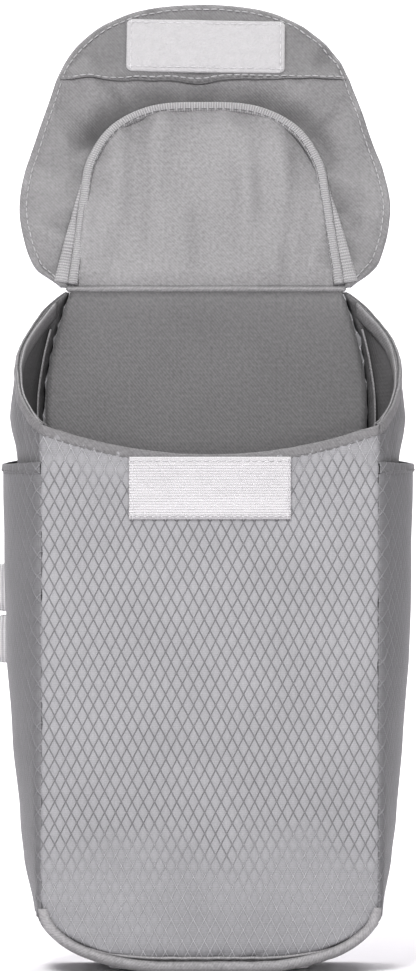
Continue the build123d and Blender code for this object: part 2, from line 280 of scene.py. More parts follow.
@dataclass(frozen=True)
class Ripstop:
    """Nylon with a raised lattice of tall diamonds; painted shade and painted sheen are in its colour."""

    name: str = "grey_ripstop"
    value: float = 0.26
    diamond_width: float = 4.45 * MM
    diamond_height: float = 8.6 * MM
    thread_share: float = 0.065
    # Thread tones: the first away from the painted sheen, the second inside it.
    dark_thread: float = -0.33
    light_thread: float = 1.5
    # Heights below and above which the painted sheen lights the threads.
    sheen_below: float = 58 * MM
    light_above: float = 196 * MM

    def make(self) -> Material:
        """Build the material."""
        s = Shader(self.name)
        vector, x, y, _ = s.place(True)
        across = s.math("DIVIDE", x, self.diamond_width)
        up = s.math("DIVIDE", y, self.diamond_height)
        wander = s.mul(s.sub(s.mottle(vector, 55.0), 0.5), 0.16)
        rising = s.add(s.add(across, up), wander)
        falling = s.add(s.sub(across, up), wander)
        threads = s.math("MAXIMUM", s.line(rising, self.thread_share), s.line(falling, self.thread_share))
        threads = s.math("MAXIMUM", threads, 0.0)
        weave = s.mul(s.wave(x, 0.42 * MM), s.wave(y, 0.42 * MM))
        pillow = s.mul(s.math("PINGPONG", rising, 0.5), s.math("PINGPONG", falling, 0.5))
        cloud = s.mottle(vector, 24.0)
        grain = s.mottle(vector, 1500.0, 2.0)
        # Painted shade: each puffed diamond is lighter in its middle and darker towards its threads.
        lit = s.mul_add(pillow, 0.55, 0.43)
        # Painted shade: darker in the depth of folds.
        lit = s.mul_add(s.painted_crease_shade(10 * MM), 0.6, lit)
        lit = s.mul_add(s.sub(cloud, 0.5), 0.35, lit)
        lit = s.mul_add(s.sub(grain, 0.5), 0.5, lit)
        picks = s.sub(s.wave(s.mul_add(cloud, 0.6 * MM, y), 0.85 * MM), 0.5)
        lit = s.mul_add(picks, 0.10, lit)
        # Painted sheen: below one height and above another the threads turn light and the cells a little
        # darker, with a noisy border.
        drift = s.mul_add(s.mottle(vector, 30.0), 70 * MM, -35 * MM)
        low = s.math("DIVIDE", s.sub(self.sheen_below, s.add(y, drift)), 40 * MM)
        high = s.math("DIVIDE", s.sub(s.add(y, drift), self.light_above), 14 * MM)
        painted_sheen = s.math("MINIMUM", s.math("MAXIMUM", s.math("MAXIMUM", low, high), 0.0), 1.0)
        tone = s.mul_add(painted_sheen, self.light_thread - self.dark_thread, self.dark_thread)
        lit = s.mul_add(painted_sheen, -0.16, lit)
        shade = s.add(s.mul(threads, tone), lit)
        s.paint(shade, self.value, 0.55, 1.45, -0.012)
        height = s.mul_add(threads, 0.75, s.mul(pillow, 0.9))
        height = s.mul_add(weave, 0.16, height)
        s.bump(height, 0.5 * MM)
        s.settle(s.mul_add(grain, 0.18, 0.40), sheen=0.05, specular=0.4)
        return s.material


@dataclass(frozen=True)
class PlainWeave:
    """Fine lining cloth: a tight weave that only shows as grain, with a soft sheen and painted shade in its
    folds.
    """

    name: str = "lining_cloth"
    value: float = 0.24
    thread_pitch: float = 0.55 * MM

    def make(self) -> Material:
        """Build the material."""
        s = Shader(self.name)
        vector, x, y, _ = s.place(True)
        twill = s.wave(s.mul_add(y, 0.8, x), 2.4 * self.thread_pitch)
        weave = s.mul(s.wave(x, self.thread_pitch), s.wave(y, self.thread_pitch))
        slub = s.sub(s.mottle(vector, 720.0, 5.0), 0.5)
        cloud = s.sub(s.mottle(vector, 16.0), 0.5)
        shade = s.mul_add(s.sub(twill, 0.5), 0.14, 0.45)
        shade = s.mul_add(slub, 0.9, shade)
        shade = s.mul_add(cloud, 0.5, shade)
        # Painted shade: darker in the depth of folds.
        shade = s.mul_add(s.painted_crease_shade(16 * MM), 0.9, shade)
        s.paint(shade, self.value, 0.5, 1.5, 0.006)
        s.bump(s.add(s.mul_add(slub, 0.7, weave), s.mul(twill, 0.5)),
               0.16 * MM)
        s.settle(s.mul_add(slub, 0.15, 0.42), sheen=0.05, specular=0.5)
        return s.material


@dataclass(frozen=True)
class RibbedTape:
    """Grosgrain or webbing: ribs across the length of a narrow tape."""

    name: str = "grosgrain_tape"
    value: float = 0.375
    rib_pitch: float = 1.05 * MM
    yarn_pitch: float = 0.5 * MM

    def make(self) -> Material:
        """Build the material; the map's first axis runs along the tape."""
        s = Shader(self.name)
        vector, along, across, _ = s.place(True)
        ribs = s.wave(along, self.rib_pitch)
        yarn = s.wave(across, self.yarn_pitch)
        fuzz = s.mottle(vector, 1300.0, 3.0)
        shade = s.mul_add(ribs, 0.55, s.mul(fuzz, 0.4))
        shade = s.mul_add(yarn, 0.12, shade)
        s.paint(shade, self.value, 0.5, 1.25, 0.004)
        s.bump(s.mul_add(yarn, 0.25, ribs), 0.45 * MM)
        s.settle(0.62, sheen=0.2, specular=0.25)
        return s.material


@dataclass(frozen=True)
class HookTape:
    """White woven hook tape with its hooks in close rows."""

    name: str = "white_hook_tape"
    value: float = 0.66
    row_pitch: float = 1.1 * MM
    hook_pitch: float = 0.95 * MM

    def make(self) -> Material:
        """Build the material."""
        s = Shader(self.name)
        vector, x, y, _ = s.place(True)
        rows = s.wave(y, self.row_pitch)
        hooks = s.wave(s.mul_add(y, 0.35, x), self.hook_pitch)
        fuzz = s.mottle(vector, 1500.0, 3.0)
        lattice = s.mul(rows, s.mul_add(hooks, 0.6, 0.4))
        shade = s.mul_add(fuzz, 0.45, s.mul(lattice, 0.7))
        s.paint(shade, self.value, 0.60, 1.08, 0.004)
        s.bump(s.mul_add(fuzz, 0.5, lattice), 0.5 * MM)
        s.settle(0.6, sheen=0.1, specular=0.3)
        return s.material


@dataclass(frozen=True)
class LoopTape:
    """White brushed loop tape: a soft fuzzy face."""

    name: str = "white_loop_tape"
    value: float = 0.44

    def make(self) -> Material:
        """Build the material."""
        s = Shader(self.name)
        vector, _, _, _ = s.place(True)
        fuzz = s.mottle(vector, 1100.0, 5.0)
        tufts = s.mottle(vector, 330.0, 3.0)
        shade = s.mul_add(tufts, 0.5, s.mul(fuzz, 0.5))
        s.paint(shade, self.value, 0.70, 1.12, 0.004)
        s.bump(s.mul_add(tufts, 0.8, fuzz), 0.55 * MM)
        s.settle(0.9, sheen=0.45, specular=0.12)
        return s.material


@dataclass(frozen=True)
class PlainFill:
    """Hidden foam or board: a fine grain on one colour."""

    name: str
    value: float
    roughness: float = 0.8
    grain: float = 700.0

    def make(self) -> Material:
        """Build the material on object coordinates."""
        s = Shader(self.name)
        vector, _, _, _ = s.place(False)
        cells = s.mottle(vector, self.grain, 3.0)
        s.paint(cells, self.value, 0.85, 1.1)
        s.bump(cells, 0.15 * MM)
        s.settle(self.roughness)
        return s.material


@dataclass(frozen=True)
class Thread:
    """Twisted sewing thread."""

    name: str = "grey_thread"
    value: float = 0.13

    def make(self) -> Material:
        """Build the material on object coordinates."""
        s = Shader(self.name)
        vector, x, y, z = s.place(False)
        twist = s.wave(s.add(s.add(x, y), z), 0.45 * MM)
        fuzz = s.mottle(vector, 2500.0)
        shade = s.mul_add(fuzz, 0.5, s.mul(twist, 0.5))
        s.paint(shade, self.value, 0.78, 1.2)
        s.bump(twist, 0.1 * MM)
        s.settle(0.55, sheen=0.2)
        return s.material


def worn(make: Callable[[], Material]) -> Material:
    """A wardrobe's entry, whose material is made together with the wardrobe."""
    return field(default_factory=make)


@dataclass
class Wardrobe:
    """All finishes, made once and shared by the pieces."""

    ripstop: Material = worn(Ripstop().make)
    # Painted shade: the same ripstop as the front, darker for the gussets and pockets, which face sideways
    # away from the light.
    shaded_side_ripstop: Material = worn(Ripstop("shaded_side_ripstop", 0.13, dark_thread=1.1, light_thread=1.4).make)
    lining: Material = worn(PlainWeave().make)
    skirt: Material = worn(PlainWeave("skirt_cloth", 0.203).make)
    # Painted shade: the lining made darker inside the pouch, where shade falls.
    inside: Material = worn(PlainWeave("shaded_inside_cloth", 0.125).make)
    base: Material = worn(PlainWeave("base_edge_cloth", 0.31).make)
    facing: Material = worn(PlainWeave("facing_cloth", 0.16).make)
    grosgrain: Material = worn(RibbedTape().make)
    fuzzy_tape: Material = worn(RibbedTape("fuzzy_tape", 0.34, 1.4 * MM, 0.9 * MM).make)
    webbing: Material = worn(RibbedTape("light_webbing", 0.56, 1.6 * MM, 0.8 * MM).make)
    hooks: Material = worn(HookTape().make)
    loops: Material = worn(LoopTape().make)
    thread: Material = worn(Thread().make)
    light_thread: Material = worn(Thread("light_thread", 0.42).make)
    white_thread: Material = worn(Thread("white_thread", 0.62).make)
    foam: Material = worn(PlainFill("white_foam", 0.7).make)
    board: Material = worn(PlainFill("stiffener_board", 0.6, 0.5).make)


# ---- Cloth shells ------------------------------------------------------------------------------------
def cloth_shell(
    name: str,
    surface: Surface,
    steps: tuple[int, int],
    thickness: float,
    uv: Callable[[float, float, Point], Flat] | None = None,
    inwards: Point | None = None,
    open_start: bool = False,
    open_end: bool = False,
) -> Piece:
    """A closed thin shell of cloth on a surface rule.

    Args:
        name: the piece's name.
        surface: point on the outside face for u and v from 0 to 1; u x v points outwards.
        steps: number of faces along u and v.
        thickness: cloth thickness, laid inwards from the surface.
        uv: map coordinates in metres for u, v and the point; by default the path lengths of the
            middle row and column.
        inwards: direction in which the thickness is laid; by default against the surface's normal.
        open_start: the edge at u = 0 folds back on itself, so it gets no rim.
        open_end: the same for the edge at u = 1.

    Returns:
        The new object, at the origin.
    """
    nu, nv = steps
    us, vs = np.linspace(0, 1, nu + 1), np.linspace(0, 1, nv + 1)
    top = np.array([[surface(u, v) for v in vs] for u in us], float)
    if inwards is None:
        normal = np.cross(np.gradient(top, axis=0), np.gradient(top, axis=1))
        size = np.linalg.norm(normal, axis=2, keepdims=True)
        under = top - normal / np.maximum(size, 1e-12) * thickness
    else:
        under = top + np.array(inwards) * thickness
    if uv is None:
        row = top[:, nv // 2]
        column = top[nu // 2]
        along = np.concatenate([[0], np.cumsum(np.linalg.norm(np.diff(row, axis=0), axis=1))])
        up = np.concatenate([[0], np.cumsum(np.linalg.norm(np.diff(column, axis=0), axis=1))])
        flat = np.array([[(along[i], up[j]) for j in range(nv + 1)] for i in range(nu + 1)])
    else:
        flat = np.array(
            [[uv(u, v, top[i, j]) for j, v in enumerate(vs)] for i, u in enumerate(us)], float
        )
    count = (nu + 1) * (nv + 1)

    def index(i: int, j: int) -> int:
        return i * (nv + 1) + j

    faces: list[tuple[int, ...]] = []
    edges: dict[tuple[int, int], int] = {}
    for i in range(nu):
        for j in range(nv):
            quad = (index(i, j), index(i + 1, j), index(i + 1, j + 1), index(i, j + 1))
            faces.append(quad)
            faces.append(tuple(count + k for k in reversed(quad)))
            for a, b in zip(quad, quad[1:] + quad[:1]):
                if (b, a) in edges:
                    del edges[b, a]
                else:
                    edges[a, b] = 1
    for a, b in edges:
        rows = (a // (nv + 1), b // (nv + 1))
        if (open_start and rows == (0, 0)) or (open_end and rows == (nu, nu)):
            continue
        faces.append((b, a, count + a, count + b))
    points = np.concatenate([top.reshape(-1, 3), under.reshape(-1, 3)])
    mesh = bpy.data.meshes.new(name)
    mesh.from_pydata(points.tolist(), [], faces)
    flat_uv = flat.reshape(-1, 2)
    layer = mesh.uv_layers.new(name="cloth")
    picked = np.empty(len(mesh.loops), np.int32)
    mesh.loops.foreach_get("vertex_index", picked)
    layer.data.foreach_set("uv", flat_uv[picked % count].astype(np.float32).ravel())
    return finish_mesh(name, mesh)


def finish_mesh(name: str, mesh: bpy.types.Mesh) -> Piece:
    """Clean a mesh, point its faces outwards, shade it smooth and put it in the scene."""
    work = bmesh.new()
    work.from_mesh(mesh)
    loose = [v for v in work.verts if not v.link_faces]
    bmesh.ops.delete(work, geom=loose, context="VERTS")
    bmesh.ops.remove_doubles(work, verts=work.verts, dist=1e-6)
    bmesh.ops.recalc_face_normals(work, faces=work.faces)
    for face in work.faces:
        face.smooth = True
    work.to_mesh(mesh)
    work.free()
    mesh.update()
    piece = bpy.data.objects.new(name, mesh)
    bpy.context.scene.collection.objects.link(piece)
    return piece


def ribbon(
    name: str,
    path: list[Point],
    normals: list[Point],
    width: float,
    thickness: float,
    lift: float = 0.0,
    round_off: float = 0.5,
    taper: Callable[[float], float] | None = None,
    round_section: bool = False,
) -> Piece:
    """A flat tape that follows a path, lying against a surface.

    Args:
        name: the piece's name.
        path: the middle line of the tape.
        normals: outward direction of the surface at each point.
        width: across the tape.
        thickness: along the normals.
        lift: gap under the tape.
        round_off: how far its edges are rounded, 0 to 1.
        taper: share of the width at each place from 0 to 1 along the path.
        round_section: a round cord of that width instead of a flat tape.

    Returns:
        The new object, with a map whose first axis runs along the tape.
    """
    section = [(-0.5, 0.0), (-0.5 + 0.04 * round_off, 0.62), (-0.30, 1.0), (0.0, 1.06),
               (0.30, 1.0), (0.5 - 0.04 * round_off, 0.62), (0.5, 0.0)]
    if round_section:
        turns = [2 * math.pi * k / 14 for k in range(14)]
        section = [(-0.5 * math.sin(a), 0.5 - 0.5 * math.cos(a)) for a in turns]
    count = len(path)
    points: list[Vector] = []
    flats: list[Flat] = []
    walked = 0.0
    for k in range(count):
        here = Vector(path[k])
        before, after = Vector(path[max(k - 1, 0)]), Vector(path[min(k + 1, count - 1)])
        wide = width * (taper(k / (count - 1)) if taper else 1.0)
        if k:
            walked += (here - Vector(path[k - 1])).length
        tangent = (after - before).normalized()
        up = Vector(normals[k]).normalized()
        side = tangent.cross(up).normalized()
        up = side.cross(tangent).normalized()
        for x, y in section:
            points.append(here + side * (x * wide) + up * (lift + y * thickness))
            flats.append((walked, x * wide))
    ring = len(section)
    faces = []
    for k in range(count - 1):
        after = k + 1
        for j in range(ring):
            step = (j + 1) % ring
            faces.append((k * ring + j, k * ring + step, after * ring + step, after * ring + j))
    faces.append(tuple(range(ring - 1, -1, -1)))
    faces.append(tuple((count - 1) * ring + j for j in range(ring)))
    mesh = bpy.data.meshes.new(name)
    mesh.from_pydata([tuple(p) for p in points], [], faces)
    layer = mesh.uv_layers.new(name="cloth")
    for loop in mesh.loops:
        layer.data[loop.index].uv = flats[loop.vertex_index]
    return finish_mesh(name, mesh)


# ---- Stitches ----------------------------------------------------------------------------------------
class StitchMachine:
    """Sews rows of stitches with one Geometry Nodes tree."""

    def __init__(self, thread: Material) -> None:
        """Build the tree for that default thread."""
        self.thread = thread
        self.tree = self._build()
        self.sockets = {
            item.name: item.identifier
            for item in self.tree.interface.items_tree
            if item.item_type == "SOCKET" and item.in_out == "INPUT"
        }

    def _build(self) -> bpy.types.NodeTree:
        """The tree: a path becomes evenly spaced, slightly uneven stitches along its length."""
        tree = bpy.data.node_groups.new("stitch_row", "GeometryNodeTree")
        face = tree.interface
        face.new_socket("Path", in_out="INPUT", socket_type="NodeSocketGeometry")
        for name, value in (("Pitch", 3.2 * MM), ("Stitch length", 2.7 * MM), ("Thread radius", 0.28 * MM)):
            socket = face.new_socket(name, in_out="INPUT", socket_type="NodeSocketFloat")
            socket.default_value = value
        face.new_socket("Material", in_out="INPUT", socket_type="NodeSocketMaterial")
        face.new_socket("Stitches", in_out="OUTPUT", socket_type="NodeSocketGeometry")
        nodes = tree.nodes
        given = nodes.new("NodeGroupInput")
        path = nodes.new("GeometryNodeMeshToCurve")
        spaced = nodes.new("GeometryNodeCurveToPoints")
        spaced.mode = "LENGTH"
        bead = nodes.new("GeometryNodeMeshUVSphere")
        bead.inputs["Segments"].default_value = 6
        bead.inputs["Rings"].default_value = 5
        bead.inputs["Radius"].default_value = 1.0
        half = nodes.new("ShaderNodeMath")
        half.operation = "MULTIPLY"
        half.inputs[1].default_value = 0.5
        size = nodes.new("ShaderNodeCombineXYZ")
        uneven = nodes.new("FunctionNodeRandomValue")
        uneven.data_type = "FLOAT"
        uneven.inputs[2].default_value = 0.9
        uneven.inputs[3].default_value = 1.1
        uneven.inputs["Seed"].default_value = 11
        scaled = nodes.new("ShaderNodeVectorMath")
        scaled.operation = "SCALE"
        placed = nodes.new("GeometryNodeInstanceOnPoints")
        real = nodes.new("GeometryNodeRealizeInstances")
        dressed = nodes.new("GeometryNodeSetMaterial")
        result = nodes.new("NodeGroupOutput")
        for start, end in (
            (given.outputs["Path"], path.inputs[0]),
            (path.outputs[0], spaced.inputs[0]),
            (given.outputs["Pitch"], spaced.inputs["Length"]),
            (given.outputs["Stitch length"], half.inputs[0]),
            (given.outputs["Thread radius"], size.inputs[0]),
            (given.outputs["Thread radius"], size.inputs[1]),
            (half.outputs[0], size.inputs[2]),
            (size.outputs[0], scaled.inputs[0]),
            (uneven.outputs[1], scaled.inputs["Scale"]),
            (spaced.outputs["Points"], placed.inputs["Points"]),
            (spaced.outputs["Rotation"], placed.inputs["Rotation"]),
            (bead.outputs["Mesh"], placed.inputs["Instance"]),
            (scaled.outputs[0], placed.inputs["Scale"]),
            (placed.outputs[0], real.inputs[0]),
            (real.outputs[0], dressed.inputs[0]),
            (given.outputs["Material"], dressed.inputs["Material"]),
            (dressed.outputs[0], result.inputs[0]),
        ):
            tree.links.new(start, end)
        return tree

    def row(
        self,
        name: str,
        paths: list[list[Point]],
        thread: Material | None = None,
        pitch: float = 3.2 * MM,
        length: float = 2.6 * MM,
        radius: float = 0.28 * MM,
    ) -> Piece:
        """Sew stitches along one or more open paths.

        Args:
            name: the piece's name.
            paths: the lines that the needle follows, on the cloth's face.
            thread: the thread, or the default one.
            pitch: from one stitch to the next.
            length: the seen length of one stitch.
            radius: half the thread's thickness.

        Returns:
            One plain mesh that holds every stitch.
        """
        points: list[Point] = []
        edges: list[tuple[int, int]] = []
        for path in paths:
            start = len(points)
            points.extend(path)
            edges.extend((start + k, start + k + 1) for k in range(len(path) - 1))
        guide_mesh = bpy.data.meshes.new(f"{name}_guide")
        guide_mesh.from_pydata(points, edges, [])
        guide = bpy.data.objects.new(f"{name}_guide", guide_mesh)
        bpy.context.scene.collection.objects.link(guide)
        modifier = guide.modifiers.new("stitches", "NODES")
        modifier.node_group = self.tree
        values = {"Pitch": pitch, "Stitch length": length, "Thread radius": radius,
                  "Material": thread or self.thread}
        for key, value in values.items():
            modifier[self.sockets[key]] = value
        graph = bpy.context.evaluated_depsgraph_get()
        sewn = bpy.data.meshes.new_from_object(guide.evaluated_get(graph), depsgraph=graph)
        guide.modifiers.remove(modifier)
        bpy.data.objects.remove(guide)
        sewn.name = name
        for polygon in sewn.polygons:
            polygon.use_smooth = True
        piece = bpy.data.objects.new(name, sewn)
        bpy.context.scene.collection.objects.link(piece)
        return piece

    def sew(
        self,
        name: str,
        paths: list[list[Point]],
        slot: str,
        body: str | tuple[str, str, Point, Point],
        thread: Material | None = None,
        **sizes: float,
    ) -> None:
        """Sew a piece of stitches with row and place it; sizes are row's pitch, length and radius."""
        place(self.row(name, paths, thread, **sizes), thread or self.thread, body)


# ---- Putting pieces in place -------------------------------------------------------------------------
def place(
    piece: Piece,
    material: Material,
    body: str | tuple[str, str, Point, Point],
    nodes: tuple[str, ...] = (),
) -> Piece:
    """Dress a finished piece, tie it to its body or, given two, only bake its transform, and hide the CAD
    nodes it stands for.

    Args:
        piece: the finished mesh object.
        material: its finish.
        body: one body's name, or two with the points between which the cloth bends; a piece given two is
            tied to neither.
        nodes: CAD nodes that the piece replaces.

    Returns:
        The same object.
    """
    if not piece.data.materials or piece.data.materials[0] is None:
        piece.data.materials.clear()
        piece.data.materials.append(material)
    if isinstance(body, str):
        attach(piece, body)
    else:
        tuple(body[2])
        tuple(body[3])
        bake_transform(piece)
    if nodes:
        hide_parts(*nodes)
    log.info("%s: %d faces", piece.name, len(piece.data.polygons))
    return piece


def cut(
    piece: Piece,
    width: float,
    length: float,
    share: float,
) -> None:
    """Log a cloth piece's area beside the size of the rectangle it was cut from times the share it fills.
    """
    half_skin = sum(polygon.area for polygon in piece.data.polygons) / 2
    area = share * width * length
    log.info("%s: cloth %.4f m2 of a %.4f m2 cut", piece.name, half_skin, area)


# ---- The pouch's shape -------------------------------------------------------------------------------
@dataclass
class PouchShape:
    """Sizes of the sewn body, read from the frame, and the surfaces that its pieces share."""

    base_seam: float = 24 * MM
    corner_run: float = 50 * MM
    belly: float = 1.5 * MM
    shoulder: float = 10 * MM
    shoulder_start: float = 228 * MM
    scoop: float = 12.4 * MM
    roll_width: float = 4.6 * MM
    shell: float = 0.9 * MM
    wall: float = 3.4 * MM
    half: float = field(init=False)
    front: float = field(init=False)
    rear: float = field(init=False)
    seam_floor: float = field(init=False)
    front_corner: float = field(init=False)
    rear_height: float = field(init=False)
    gusset_half: float = field(init=False)
    pocket_half: float = field(init=False)
    pocket_top: float = field(init=False)

    def __post_init__(self) -> None:
        """Read the driving sizes from the CAD nodes."""
        low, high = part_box("front_panel")
        self.half, self.front, self.seam_floor, self.front_corner = high[0], low[1], low[2], high[2]
        low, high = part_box("rear_panel")
        self.rear, self.rear_height = high[1], high[2]
        self.gusset_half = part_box("right_gusset")[1][0]
        low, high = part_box("right_side_pocket")
        self.pocket_half, self.pocket_top = high[0], high[2]

    def rim(self, t: float) -> float:
        """Height of the gusset's rim; t runs from -1 at the front seam to 1 at the rear seam."""
        climb = (max(t + 1, 0.0) / 2) ** 0.93
        height = self.front_corner + (self.rear_height - self.front_corner) * climb
        return height - 2.2 * MM * (1 - t * t)

    def scoop_height(self, x: float) -> float:
        """Height of the front panel's top edge."""
        return self.front_corner - self.scoop * (1 - min(1.0, (x / self.half) ** 2))

    def seam_half(self, z: float, is_rear: bool, corner: float = 0.0) -> float:
        """Half the width between a panel's seams at a height; corner draws its lower corners in."""
        start = self.base_seam + 1.5 * corner
        if z < start:
            part = min(1.0, (start - z) / (start - self.seam_floor))
            return self.half - (self.corner_run - 0.5 * corner) * (1 - math.sqrt(max(0.0, 1 - part**2)))
        if is_rear and z > self.shoulder_start:
            reach = self.rear_height - self.shoulder_start
            return self.half - self.shoulder * ((z - self.shoulder_start) / reach) ** 1.6
        return self.half

    def gusset_swell(self, z: float) -> float:
        """How far the gusset stands out between its seams at a height."""
        full = self.gusset_half - self.half
        body = curve_through(
            [(24 * MM, 0.1), (68 * MM, 0.5), (114 * MM, 0.8), (190 * MM, 1.0), (246 * MM, 0.93),
             (272 * MM, 0.45)], z)
        top = curve_through(
            [(203 * MM, 0.0), (222 * MM, 1.0), (246 * MM, 0.25), (268 * MM, 0.0)], z)
        return full * body + 3.0 * MM * top

    def pocket_swell(self, z: float) -> float:
        """How far the filled side pocket stands out between its seams at a height."""
        full = self.pocket_half - self.half
        return full * curve_through(
            [(22 * MM, 0.08), (44 * MM, 0.40), (60 * MM, 0.53), (92 * MM, 0.71), (124 * MM, 0.90),
             (170 * MM, 0.97), (205 * MM, 1.0)], z)

    def side(self, t: float, z: float, swell: float, inset: float, sign: int) -> Point:
        """A point on a gusset or pocket: t across the depth, swell at mid depth, inset inwards."""
        edge = 0.9 * MM
        before, middle, after = t * (t - 1) / 2, 1 - t * t, t * (t + 1) / 2
        half = (before * self.seam_half(z, False) + middle * (self.half + swell)
                + after * self.seam_half(z, True))
        depth = (self.rear - self.front) / 2 - edge
        roll = 1.5 * MM * math.exp(-(1 - abs(t)) * depth / (1.1 * MM))
        return (sign * (half - inset - roll), (self.front + self.rear) / 2 + t * depth, z)

    def base(self, q: float, t: float, inset: float) -> Point:
        """A point on the base strip: q from -1 at the left base seam to 1 at the right one."""
        side = math.copysign(1.0, q)
        turn = min(1.0, (1 - abs(q)) / 0.45)
        angle = turn * 0.5 * math.pi
        flat = min(1.0, abs(q) / 0.55)
        before, middle, after = t * (t - 1) / 2, 1 - t * t, t * (t + 1) / 2
        reach = (before + after) * (self.half - self.corner_run) + middle * (self.half - 56 * MM)
        floor = (before + after) * self.seam_floor - middle * self.belly
        wide = (before + after) * self.half + middle * (self.half + 0.6 * MM)
        across = reach + (wide - reach) * math.cos(angle) if abs(q) >= 0.55 else reach * flat
        height = self.base_seam - (self.base_seam - floor) * math.sin(angle)
        depth = (self.rear - self.front) / 2 - 1.0 * MM
        soft = 1.2 * MM
        height = 0.5 * (height + math.sqrt(height * height + soft * soft)) if height > -0.05 else 0.0
        height = max(height, 0.25 * MM) + inset
        return (side * (across - inset), (self.front + self.rear) / 2 + t * depth, height)

    def panel_relief(self, x: float, z: float, is_rear: bool) -> float:
        """Outward relief of a panel's cloth: belly, soft dents, gathers and the roll into its seams."""
        seed = Seed.REAR if is_rear else Seed.FRONT
        half = self.seam_half(z, is_rear, self.roll_width)
        edge = max(half - abs(x), 0.0)
        foot = max(z - self.seam_floor - 0.9 * MM * (1 + ripple(x, 0.0, 8 * MM, seed + 9)), 0.0)
        belly = 2.0 * MM * (1 - min(1.0, (x / half) ** 2)) * curve_through(
            [(5 * MM, 0.0), (80 * MM, 1.0), (120 * MM, 0.8), (178 * MM, 0.0)], z)
        dents = 0.45 * MM * ripple(x, z, 30 * MM, seed) + 0.22 * MM * ripple(x, z, 11 * MM, seed + 3)
        sides = 0.62 * MM * pucker(edge, z, 7 * MM, 9 * MM, seed + (1 if x > 0 else 2))
        bottom = 0.42 * MM * pucker(foot, x, 5 * MM, 8 * MM, seed + 5)
        roll = -2.0 * MM * (math.exp(-edge / (1.2 * MM)) + 1.15 * math.exp(-foot / (1.4 * MM)))
        calm = 1.0 - 0.85 * ease((z - 176 * MM) / (8 * MM)) * ease((46 * MM - abs(x)) / (10 * MM))
        return belly + (dents + bottom) * calm + sides + roll

    def gusset_relief(self, t: float, z: float, sign: int) -> float:
        """Outward relief of the gusset cloth: soft folds and the gathers along its seams."""
        depth = (1 - abs(t)) * (self.rear - self.front) / 2
        seed = Seed.GUSSET + 3 * sign
        across = t * 35 * MM
        folds = 0.8 * MM * ripple(across, z, 24 * MM, seed) + 0.3 * MM * ripple(across, z, 9 * MM, seed + 1)
        return folds + 0.6 * MM * pucker(depth, z, 7 * MM, 9 * MM, seed + 2 + (1 if t > 0 else 0))


def hem_lift(below_edge: float, width: float, lift: float) -> float:
    """Raised band of a folded hem, with the dip that its line of stitches presses in."""
    band = lift * (1 - ease((below_edge - width) / (0.9 * MM)))
    dip = 0.28 * MM * math.exp(-(((below_edge - width + 0.9 * MM) / (0.7 * MM)) ** 2))
    roll = 0.5 * MM * math.exp(-max(below_edge, 0.0) / (0.7 * MM))
    return band - dip - roll


